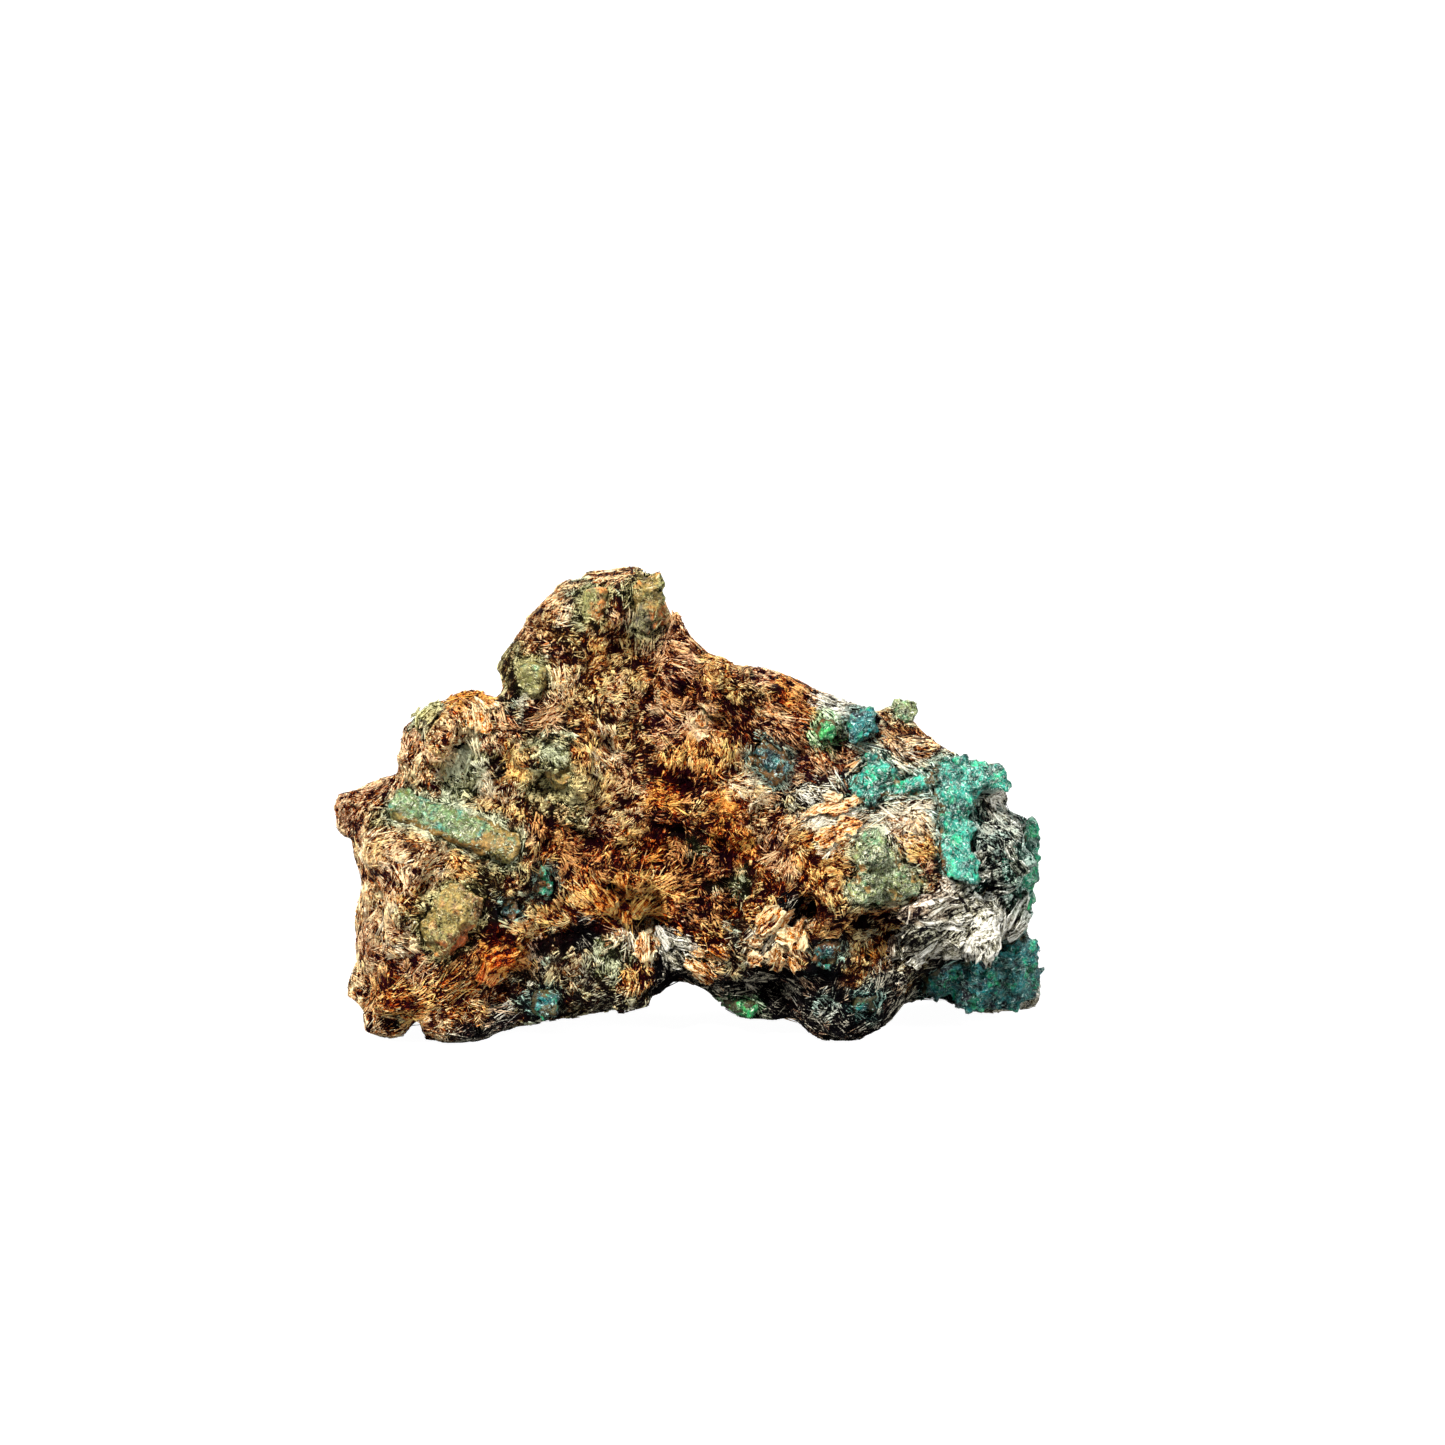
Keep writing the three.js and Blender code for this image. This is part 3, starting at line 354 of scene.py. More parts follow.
# how a crystal is worn, from broad lumps to pits and fine grains: pattern, size (mm), depth (mm), middle
WEAR = (
    ("CLOUDS", 5, 1.2, 0.5),
    ("CLOUDS", 2.2, 1.2, 0.5),
    ("VORONOI", 1.3, -0.5, 0.35),
    ("CLOUDS", 0.9, 0.4, 0.5),
)
GRIT, GRIT_DEPTH = 0.5 * MM, 0.25 * MM
EDGE_WEAR = 10
crystals = []
for node, paint, lumps, _, _, _ in CRYSTALS:
    piece = own_copy(node, node + "_skin")
    remesh(piece, EMERALD_VOXEL)
    worn = piece.modifiers.new("worn_edges", "SMOOTH")
    worn.iterations = EDGE_WEAR
    bpy.ops.object.modifier_apply(modifier=worn.name)
    for pattern, size, depth, middle in WEAR:
        roughen(piece, pattern, size * MM, depth * lumps * MM, middle)
    roughen(piece, "CLOUDS", GRIT, GRIT_DEPTH)
    bpy.ops.object.shade_smooth()
    piece.data.materials.append(paint)
    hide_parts(node)
    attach(piece, "root")
    crystals.append(piece)


# The rock. Mica schist: mica books pressed and grown together in sheaves, with crevices between them.
# This piece is the ground that the finer mica stands on, remeshed from the solid, with each sheaf a
# little higher or lower than the next, and ridged along the way that its books run.
ROCK_VOXEL = 0.47 * MM
# how a spot's height and its depth show to someone who looks down on it, and where they are counted from
UP_SHARE, DEPTH_SHARE = math.cos(LOOK_DOWN), math.sin(LOOK_DOWN)
TABLE_DROP = 2.1
DEPTH_SHIFT = 2.364
SEED = 4
rng = np.random.default_rng(SEED)
noise.seed_set(SEED)


def points_of(mesh):
    """The mesh's corners as an array."""
    places = np.empty(len(mesh.vertices) * 3)
    mesh.vertices.foreach_get("co", places)
    return places.reshape(-1, 3)


def normals_of(mesh):
    """The mesh's corner normals as an array."""
    ways = np.empty(len(mesh.vertices) * 3)
    mesh.vertices.foreach_get("normal", ways)
    return ways.reshape(-1, 3)


def triangles_of(mesh):
    """The mesh's triangles as an array of corner numbers."""
    mesh.calc_loop_triangles()
    corners = np.empty(len(mesh.loop_triangles) * 3, np.int32)
    mesh.loop_triangles.foreach_get("vertices", corners)
    return corners.reshape(-1, 3)


def unit(ways):
    """The ways, each made one long."""
    return ways / np.maximum(np.linalg.norm(ways, axis=-1, keepdims=True), 1e-12)


def along_part(ways, others):
    """How far each way goes along its other."""
    return (ways * others).sum(axis=-1)


def square_to(ways, others):
    """The ways, each turned square to its other and made one long."""
    return unit(ways - along_part(ways, others)[..., None] * others)


def averaged(values, mesh, rounds):
    """The values, each averaged with its neighbours' that many times."""
    ends = np.empty(len(mesh.edges) * 2, np.int32)
    mesh.edges.foreach_get("vertices", ends)
    one, two = ends[0::2], ends[1::2]
    count = len(mesh.vertices)
    share = np.bincount(one, minlength=count) + np.bincount(two, minlength=count) + 1.0
    for _ in range(rounds):
        summed = [
            values[:, k]
            + np.bincount(one, values[two, k], count)
            + np.bincount(two, values[one, k], count)
            for k in range(values.shape[1])
        ]
        values = np.stack(summed, axis=1) / share[:, None]
    return values


def set_values(mesh, name, kind, values):
    """Keeps values on the mesh's corners under that name."""
    part = {"FLOAT": "value", "FLOAT_VECTOR": "vector", "FLOAT_COLOR": "color"}[kind]
    mesh.attributes.new(name, kind, "POINT").data.foreach_set(part, np.ascontiguousarray(values).reshape(-1))


class Ground:
    """A skin that mica grows on: its corners, its triangles, and which way each one faces."""

    def __init__(self, piece, rounds):
        self.points = points_of(piece.data)
        self.faces = triangles_of(piece.data)
        ways = unit(averaged(normals_of(piece.data), piece.data, rounds))
        self.facing = unit(ways[self.faces].sum(axis=1))
        self.tree = BVHTree.FromPolygons(self.points.tolist(), self.faces.tolist())
        self.corners = self.points[self.faces]
        sides = self.corners[:, 1:] - self.corners[:, :1]
        self.area = np.linalg.norm(np.cross(sides[:, 0], sides[:, 1]), axis=1) / 2
        front = np.clip(-self.facing[:, 1], 0, 1)
        self.want = self.area * (0.6 + 1.6 * front + 0.4 * np.clip(self.facing[:, 2], 0, 1))

    def scatter(self, count):
        """That many spots, more of them where the skin faces the front: their triangles and places."""
        chance = np.cumsum(self.want)
        chosen = np.searchsorted(chance, (np.arange(count) + rng.random(count)) / count * chance[-1])
        one, two = rng.random(count), rng.random(count)
        over = one + two > 1
        one[over], two[over] = 1 - one[over], 1 - two[over]
        start, first, second = (self.corners[chosen, k] for k in range(3))
        return chosen, start + one[:, None] * (first - start) + two[:, None] * (second - start)

    def by(self, places, reach=0.0):
        """Which places are in the skin's box, or no further from it than the reach."""
        low, high = self.points.min(axis=0) - reach, self.points.max(axis=0) + reach
        return ((places > low) & (places < high)).all(axis=-1)

    def landing(self, places):
        """The spot of the skin next to each place, and the triangle that it is on."""
        found = [self.tree.find_nearest(place) for place in places.tolist()]
        return np.array([spot[0] for spot in found]), np.array([spot[2] for spot in found])


def seen(places):
    """Where places are for someone at the camera's height: across, and up, in millimetres."""
    up = places[:, 2] / MM * UP_SHARE + (places[:, 1] / MM + DEPTH_SHIFT) * DEPTH_SHARE + TABLE_DROP
    return np.stack([places[:, 0] / MM, up], axis=1)


def wobble(places, size, shift):
    """A smooth pattern over places, about -1 to 1."""
    moved = places / (size * MM) + np.array([shift, 0, 0])
    return np.array([noise.noise(Vector(place)) for place in moved])


def stirred(places, size, amount):
    """The places, each moved by a smooth pattern, so that borders drawn over them come out ragged."""
    moves = [noise.noise_vector(Vector(place)) for place in places / (size * MM)]
    return places + amount * MM * np.array(moves)


# the kinds of mica and of crystal crust: four colours from the darkest to the lightest, and the lustre
MICA = {
    "golden": ((33, 0, 6), (142, 50, 0), (214, 132, 10), (255, 220, 126), 0.4),
    "olive": ((28, 4, 4), (102, 54, 0), (168, 116, 16), (248, 220, 148), 0.3),
    "tan": ((33, 1, 7), (122, 50, 4), (188, 116, 32), (254, 220, 164), 0.3),
    "cream": ((40, 0, 9), (166, 76, 8), (234, 162, 66), (255, 238, 186), 0.3),
    "pink": ((35, 0, 13), (142, 54, 24), (216, 136, 78), (255, 226, 182), 0.3),
    "rusty": ((40, 0, 4), (150, 40, 0), (220, 112, 8), (255, 186, 84), 0.4),
    "dark": ((14, 0, 5), (68, 0, 12), (128, 40, 6), (242, 176, 104), 0.4),
    "plum": ((17, 0, 13), (70, 0, 32), (118, 56, 54), (236, 184, 148), 0.35),
    "silver": ((2, 1, 5), (90, 90, 70), (176, 172, 148), (254, 251, 240), 0.2),
    "ivory": ((40, 18, 6), (156, 132, 76), (228, 208, 158), (255, 251, 232), 0.2),
    "black": ((1, 0, 3), (6, 4, 12), (20, 20, 24), (196, 194, 172), 0.25),
    "mossy": ((19, 13, 2), (92, 80, 28), (144, 140, 80), (228, 220, 160), 0.1),
    "sage": ((14, 18, 5), (80, 96, 46), (134, 150, 100), (220, 228, 194), 0.05),
    "teal": ((1, 20, 17), (12, 98, 78), (70, 156, 132), (218, 240, 228), 0.0),
    "green": ((2, 26, 13), (20, 118, 54), (86, 172, 92), (212, 242, 198), 0.0),
    "deep": ((1, 4, 8), (2, 40, 38), (16, 92, 80), (150, 194, 182), 0.0),
    "frosty": ((42, 40, 19), (118, 126, 82), (146, 170, 130), (220, 226, 194), 0.0),
}
KINDS = tuple(MICA)
palettes = np.array([[tint(*step) for step in kind[:4]] for kind in MICA.values()])
lustres = np.array([kind[4] for kind in MICA.values()])
# the iron-stained kinds, golden to plum, are richer by this much in their two middle colours
RICHER = 1.3
STAINED, MIDDLE_COLOURS = KINDS.index("plum") + 1, slice(1, 3)
grey = palettes.mean(axis=2, keepdims=True)
rich = np.clip(grey + RICHER * (palettes - grey), 0, 1)
palettes[:STAINED, MIDDLE_COLOURS] = rich[:STAINED, MIDDLE_COLOURS]

# kinds of ground: the mica in it, how long and how tangled its books are, and how wide its sheaves
GROUNDS = {
    "golden": ({"golden": 5, "cream": 2, "rusty": 1.5, "dark": 1, "olive": 1}, 1.0, 0.2, 1.2),
    "mottled": (
        {"tan": 3, "olive": 1, "golden": 1.5, "pink": 2, "mossy": 1, "plum": 1, "cream": 0.8}, 0.7, 0.5, 0.8
    ),
    "olive": ({"olive": 3.5, "tan": 2, "golden": 2, "mossy": 1.5, "pink": 0.5}, 0.8, 0.35, 1.0),
    "creamy": ({"cream": 4, "ivory": 1.5, "pink": 2, "golden": 1.5, "dark": 0.8}, 1.2, 0.18, 1.3),
    "pinkish": ({"pink": 4, "cream": 2, "plum": 2, "tan": 1.5}, 1.1, 0.2, 1.1),
    "white": ({"ivory": 6, "cream": 2, "silver": 1, "rusty": 0.6}, 1.8, 0.1, 2.0),
    "rusty": ({"rusty": 7, "golden": 2, "dark": 1}, 0.8, 0.3, 1.0),
    "fan": ({"golden": 5, "rusty": 3, "cream": 2}, 2.0, 0.06, 2.4),
    "maroon": ({"dark": 6, "plum": 1, "rusty": 1.5, "golden": 1.5, "cream": 0.8}, 1.0, 0.25, 1.0),
    "streaked": ({"dark": 3.5, "pink": 2.5, "cream": 2, "plum": 1}, 1.7, 0.08, 1.5),
    "silvery": ({"silver": 5, "ivory": 4, "black": 1}, 1.5, 0.12, 2.2),
    "grey": ({"silver": 3, "black": 3, "deep": 3}, 1.0, 0.35, 1.0),
    "tealy": ({"teal": 7, "deep": 2, "silver": 0.5, "green": 1.5}, 0.5, 0.8, 0.8),
    "black": ({"black": 7, "dark": 1, "silver": 1.6}, 1.4, 0.18, 1.3),
    "dusky": ({"black": 3, "mossy": 2, "olive": 1.5, "silver": 1, "deep": 1, "cream": 0.8}, 0.9, 0.4, 0.9),
    "mossy": ({"mossy": 6, "tan": 2, "sage": 1.5, "olive": 1}, 0.5, 0.8, 0.8),
    "sagy": ({"sage": 6, "mossy": 2, "tan": 1}, 0.7, 0.5, 0.9),
}
# patches of ground: across, up, reach (mm), kind, the spot that its sheaves spread from, how light. How light
# holds the ground's own tone, with painted shade low down by the table and painted light in hollows under
# overhangs
PATCHES = (
    # the tower
    (-8.5, 58, 3, "creamy", None, -0.05),
    (-16, 57, 2.5, "mottled", None, -0.08),
    (-13, 54.5, 2.6, "sagy", None, -0.03),
    (-8.7, 55.6, 1.6, "sagy", None, 0.0),
    (-5.6, 55.8, 2.2, "mossy", None, 0.05),
    (-3.2, 56.4, 1.5, "sagy", None, 0.0),
    (-9.3, 53.4, 1.8, "creamy", (-9, 40), 0.1),
    (-15.5, 53.8, 2.4, "creamy", (-20, 40), 0.05),
    (-5.6, 51.4, 1.6, "black", None, 0.05),
    (-1.8, 51.6, 2.6, "streaked", (-30, 58), 0.2),
    (-1, 48, 3, "streaked", (-30, 56), 0.2),
    (-4.3, 46, 1.8, "maroon", None, 0.0),
    (1, 44.2, 2.5, "maroon", (-20, 46), 0.03),
    (3.6, 47.2, 1.9, "golden", None, 0.0),
    (-10, 50.8, 2.4, "mottled", None, 0.0),
    (-11.4, 48.5, 1.8, "golden", None, 0.1),
    (-15, 50, 2.8, "olive", None, -0.05),
    (-19, 51, 3, "mottled", None, 0.05),
    (-21.5, 47.5, 3, "mossy", None, 0.0),
    (-18.3, 47.1, 1.4, "dusky", None, -0.15),
    (-19, 44.6, 2, "sagy", None, 0.16),
    (-14, 47, 2.4, "mottled", None, -0.05),
    (-15.5, 44.3, 2.4, "creamy", (-14, 32), 0.21),
    (-12.5, 42, 2.8, "olive", (-20, 38), 0.0),
    (-6.8, 46.4, 2.8, "olive", (-6, 64), 0.1),
    (-8.6, 43.2, 1.5, "creamy", None, 0.2),
    (-7, 41.3, 2.4, "mottled", (-20, 46), -0.04),
    (-20.6, 41.6, 1.9, "dusky", None, 0.11),
    (-18.3, 39.6, 2.4, "streaked", (-30, 42), 0.16),
    # the shoulder and the left arm
    (-32.5, 40.5, 3, "sagy", None, 0.18),
    (-27, 43, 2.6, "rusty", None, 0.21),
    (-26.4, 40, 2.6, "creamy", None, 0.26),
    (-24, 38, 2.2, "pinkish", (-24, 26), 0.11),
    (-33.5, 37, 2.8, "pinkish", (-33, 64), 0.13),
    (-33, 33.6, 2.4, "creamy", (-33, 60), 0.28),
    (-29.5, 37.5, 2.8, "mottled", None, 0.29),
    # painted light lifts this hollow, which the overhang shades
    (-27.5, 36.4, 1.9, "sagy", None, 0.58),
    (-27, 33, 2.4, "sagy", (-31, 28), 0.43),
    (-23.6, 35, 1.6, "dusky", None, -0.02),
    (-22.6, 32, 2.4, "creamy", (-24, 18), 0.28),
    (-21, 34, 1.8, "golden", (-20, 18), 0.28),
    (-22.5, 27.5, 2.8, "olive", (-23, 40), 0.0),
    (-42, 28, 3, "pinkish", (-35, 34), 0.1),
    (-38.5, 30.6, 2.8, "pinkish", (-50, 22), -0.05),
    (-37.3, 28, 1.9, "mossy", (-46, 34), 0.0),
    (-38, 24.6, 3.2, "creamy", (-46, 14), 0.25),
    (-33, 24, 3.2, "creamy", (-44, 18), 0.05),
    (-27, 23.5, 2.8, "golden", (-45, 29), 0.15),
    (-38.5, 20.7, 1.6, "streaked", (-52, 22.5), -0.02),
    (-33, 21, 2.6, "creamy", (-40, 10), 0.12),
    (-38, 17, 3, "creamy", (-46, 26), 0.32),
    (-36, 13.6, 2.6, "creamy", (-46, 22), 0.24),
    (-39.3, 12, 2, "pinkish", None, 0.08),
    (-25, 20, 2.6, "mossy", None, -0.05),
    (-24.5, 17.6, 1.9, "dusky", None, -0.25),
    (-21.6, 18.4, 1.5, "olive", None, 0.0),
    (-39.3, 8.6, 2.6, "creamy", (-52, 8), 0.18),
    (-33, 9.4, 2.8, "pinkish", (-52, 6), 0.05),
    (-36, 6, 3.6, "fan", (-52, 2), -0.1),
    (-29, 6.5, 3.2, "fan", (-44, -1), -0.32),
    (-25, 7, 2.4, "creamy", (-38, -1), 0.02),
    (-38.5, 3, 3, "creamy", None, 0.13),
    (-36.5, 3, 1.4, "dusky", None, -0.3),
    (-30.5, 3.5, 2, "creamy", (-33, -3), -0.1),
    (-27, 4, 2.2, "golden", (-38, -2), -0.19),
    (-25, 1.4, 3.6, "black", (-52, -5), -0.39),
    (-21, 6.4, 2, "dusky", None, -0.27),
    (-28, 11.6, 2.2, "maroon", (-18, 15), -0.08),
    (-23, 10.4, 2.4, "rusty", (-31, 6), 0.17),
    (-19.9, 10, 1.4, "maroon", (-18, 4), 0.26),
    (-19, 4, 2.6, "dusky", None, -0.32),
    (-31.6, 15.6, 4, "mossy", None, 0.17),
    (-30.8, 14.4, 2.2, "sagy", None, 0.15),
    (-33.4, 18.6, 1.9, "golden", (-40, 12), 0.17),
    # the middle
    (-16.5, 37, 3, "sagy", None, 0.23),
    (-17.4, 32.6, 3.8, "mossy", None, 0.23),
    (-12.4, 36.6, 2, "golden", (-12, 20), 0.18),
    (-9.8, 36.4, 2.4, "creamy", (-10, 20), 0.18),
    (-7, 37.6, 2.3, "olive", (-20, 30), -0.09),
    (-7.4, 32.4, 2.8, "mottled", (-14, 22), 0.08),
    (-12, 31.6, 2.6, "olive", (-18, 20), 0.18),
    (-14, 29, 2.6, "mossy", (-22, 18), 0.15),
    (-10, 28, 2.6, "mottled", (-16, 18), 0.07),
    (-18.3, 27, 2.2, "maroon", (-20, 40), 0.0),
    (-14, 23.6, 2.8, "maroon", (-25, 29), 0.15),
    (-9.8, 22, 2.6, "maroon", None, -0.13),
    (-7.4, 25, 2.2, "golden", (-12, 18), 0.17),
    (-4.4, 24, 2.2, "rusty", None, -0.08),
    (-2.4, 30.8, 2.3, "rusty", None, 0.2),
    (-3, 27.6, 2.3, "maroon", None, -0.18),
    (-16.6, 23, 1.8, "golden", (-24, 18), 0.0),
    (-15, 18, 2.5, "golden", (-9, 13), 0.0),
    (-11.8, 18.2, 2.6, "fan", (-6, 14.5), 0.05),
    (-7.8, 18, 3, "fan", (-8.2, 14.8), 0.2),
    (-4, 18.4, 2.8, "fan", (-9, 15), 0.17),
    (-14.6, 15.4, 1.8, "golden", (-26, 16), 0.0),
    (-20.4, 14, 1.9, "golden", (-13, 14), 0.17),
    (-1, 16.4, 2.2, "maroon", (-10, 16), 0.07),
    (1.5, 24.6, 1.9, "sagy", None, -0.35),
    (1, 28, 2, "olive", None, -0.05),
    (-1, 21.8, 2.6, "maroon", (-8, 16), 0.02),
    (3.2, 19.2, 1.4, "sagy", None, 0.0),
    (4.6, 21.6, 2.2, "maroon", (8, 32), 0.0),
    (6.8, 19.8, 2.1, "sagy", (5, 28), -0.08),
    (3.6, 26.6, 2.2, "rusty", (3, 16), 0.05),
    (6.4, 24.6, 2.2, "rusty", (9, 34), -0.05),
    (9, 21, 2.4, "golden", (5, 29), -0.21),
    (7.6, 16.6, 2.6, "golden", (13, 21), -0.21),
    (2.6, 16.8, 2.2, "maroon", (-8, 22), -0.05),
    (3, 13.6, 2.2, "golden", (-10, 19), -0.11),
    (1.6, 38.9, 1.9, "pinkish", (1.5, 64), 0.38),
    (1.6, 35.6, 3, "golden", (1.5, 70), 0.1),
    (-2.4, 39, 2, "streaked", (-14, 44), 0.11),
    (0, 31.7, 2, "maroon", None, -0.2),
    (5.4, 29.6, 2.2, "rusty", None, 0.15),
    (6.6, 32.4, 2, "creamy", None, 0.2),
    # the belly
    (-16.4, 11, 2.2, "dusky", (-19, 2), -0.04),
    (-13, 13.4, 1.9, "black", (-24, 12), -0.29),
    (-14, 9.4, 2.4, "dusky", (-19, 2), -0.09),
    (-9.6, 9.6, 2.2, "sagy", (-9, 2), -0.03),
    (-7, 8.2, 1.8, "golden", (-4, 16), -0.05),
    (-5.6, 13, 2.4, "white", None, 0.0),
    (-1.4, 12, 2.2, "silvery", (-12, 16), 0.1),
    (2.6, 10.6, 2.2, "creamy", (-10, 18), -0.06),
    (-12, 6.4, 3.4, "dusky", (-32, 2), -0.35),
    (-3, 7.6, 2.2, "black", None, -0.6),
    (-7.6, 5.6, 2.4, "dusky", (-26, 5), -0.25),
    # the right slope
    (6.4, 46, 2, "mottled", None, 0.0),
    (9.6, 45, 2.2, "pinkish", (-2, 52), 0.05),
    (11, 43.4, 2.2, "rusty", (0, 48), -0.15),
    (5, 43.2, 2.2, "olive", None, 0.18),
    (8.6, 42.2, 1.6, "olive", None, -0.15),
    (14, 43.4, 2.4, "maroon", (2, 51), -0.05),
    (3.8, 41.4, 1.9, "maroon", None, 0.13),
    (6.8, 39.6, 2, "maroon", None, 0.08),
    (2.4, 40.6, 1.5, "creamy", None, 0.38),
    (10.6, 39.6, 2.4, "streaked", (0, 44), -0.14),
    (12.8, 37.6, 2.8, "streaked", (2, 46), -0.14),
    (16, 35.4, 3, "streaked", (3, 44), -0.04),
    (19, 37, 2.3, "streaked", (10, 43), 0.1),
    (13, 33.4, 2.3, "pinkish", (4, 36), 0.11),
    (18.6, 42, 2.2, "silvery", (6, 47), 0.05),
    (16.6, 40.2, 1.7, "golden", None, 0.05),
    (24.4, 38, 2.2, "mottled", (26, 50), 0.05),
    (27.5, 38.4, 1.8, "maroon", (24, 34), -0.1),
    (29.5, 36.6, 1.8, "creamy", (24, 42), 0.05),
    (27.5, 35.6, 1.8, "white", (20, 37), 0.05),
    (24, 36.2, 1.9, "streaked", (20, 42), 0.1),
    (20.5, 34.4, 1.8, "streaked", (8, 39), -0.14),
    (9.6, 30.8, 2.3, "creamy", None, 0.25),
    (8.4, 28, 2.2, "mottled", None, 0.05),
    (13.2, 29.6, 1.9, "dusky", None, -0.05),
    (12.6, 26.8, 2.4, "creamy", (2, 24), 0.1),
    (15.6, 31, 1.9, "silvery", (10, 34), -0.14),
    (17.6, 27.6, 3.2, "white", (27, 29.5), 0.23),
    (18.6, 30.4, 1.7, "white", (26, 28.5), 0.1),
    (22.6, 27.2, 2.3, "white", (27, 31), 0.13),
    (22.6, 29.4, 1.4, "rusty", (31, 33), -0.12),
    (28.2, 28.2, 2.2, "white", (20, 31), 0.18),
    (27.6, 24.4, 2, "golden", (22, 28), 0.08),
    (11, 23.4, 2.2, "streaked", (8, 31), 0.02),
    (14, 24.6, 2.5, "golden", (6, 30), -0.08),
    (17.6, 22.6, 2.6, "golden", (25, 27), 0.23),
    (20.6, 21.2, 1.6, "rusty", (14, 23), 0.0),
    (19.4, 18.4, 1.9, "olive", (19, 10), 0.05),
    (16, 19.4, 2.1, "golden", (9, 27), 0.0),
    # painted shade darkens the pit here
    (13, 17.2, 1.2, "black", None, -0.48),
    (24, 17.4, 2.2, "maroon", (12, 18), -0.1),
    # the right end
    (27, 12, 2.4, "silvery", (20, 7), 0.1),
    (29.6, 14.3, 1.4, "grey", None, -0.2),
    (31.4, 13.4, 2.6, "silvery", (24, 8), 0.2),
    (34.6, 12.4, 2.8, "silvery", (29, 6), 0.2),
    (38.6, 14.4, 3, "silvery", (31, 10), 0.25),
    (33, 17, 2.8, "silvery", (24, 14), -0.07),
    (29.4, 18.4, 2.4, "pinkish", (22, 15), -0.24),
    (38, 18.6, 2.2, "grey", (30, 17), -0.04),
    (36.4, 21.4, 2.2, "grey", (29, 23), -0.22),
    (39.6, 20, 2.0, "tealy", None, 0.12),
    (37.4, 25, 2.8, "grey", (31, 33), 0.0),
    (39.6, 27.4, 2.2, "grey", (33, 35), 0.05),
    (36.4, 28.4, 1.4, "black", None, -0.3),
    # painted light lifts these patches, which the overhang shades
    (37.6, 31.6, 2.2, "silvery", (30, 32), 0.18),
    (36, 33.6, 1.8, "silvery", (29, 37), 0.28),
    (35.4, 23, 1.4, "black", None, -0.2),
    (41.4, 20.5, 2.8, "tealy", None, 0.1),
    (41, 16.6, 2.4, "tealy", None, 0.05),
    (39.4, 23.4, 1.6, "tealy", None, -0.05),
    (35.6, 18.8, 1.5, "tealy", None, -0.28),
    (40.6, 11.6, 1.6, "silvery", None, 0.1),
    (30.2, 15.2, 1.2, "black", None, -0.23),
    (9, 13, 2.6, "white", (15, 21), -0.04),
    (12.6, 13.6, 2.4, "creamy", (13, 22), 0.16),
    (12, 10.8, 2.2, "creamy", (11, 22), -0.04),
    (15.8, 12, 1.8, "golden", (14, 22), 0.0),
    (20.4, 10.4, 2.6, "olive", (23, 20), 0.0),
    (23.6, 12.6, 2.3, "golden", (27, 3), 0.0),
    (22, 14.2, 1.8, "dusky", None, -0.15),
    (18.8, 13.4, 1.4, "maroon", None, -0.25),
    (6, 10, 2.2, "dusky", (-5, 17), -0.06),
    (6, 13.6, 1.6, "dusky", None, -0.16),
    # the underside: black mica, made darker still with painted shade
    (17, 8.6, 1.9, "black", None, -0.61),
    (13.6, 7.6, 2.6, "black", (0, 14), -0.35),
    (9, 7.6, 2.6, "black", (-5, 15), -0.28),
    (12, 4.6, 2.8, "black", (-2, 10), -0.36),
    (17.4, 6.2, 1.8, "grey", (7, 4), -0.31),
    (22, 3, 3.6, "black", (8, 3), -0.51),
    (25.4, 6, 2.6, "black", (17, -1), -0.19),
    (28, 8.6, 2, "dusky", (20, 4), -0.24),
    (31.4, 8.4, 2.4, "black", None, -0.19),
    (34, 9.8, 2, "grey", None, -0.24),
    (4, 6, 3, "black", (-10, 11), -0.24),
)
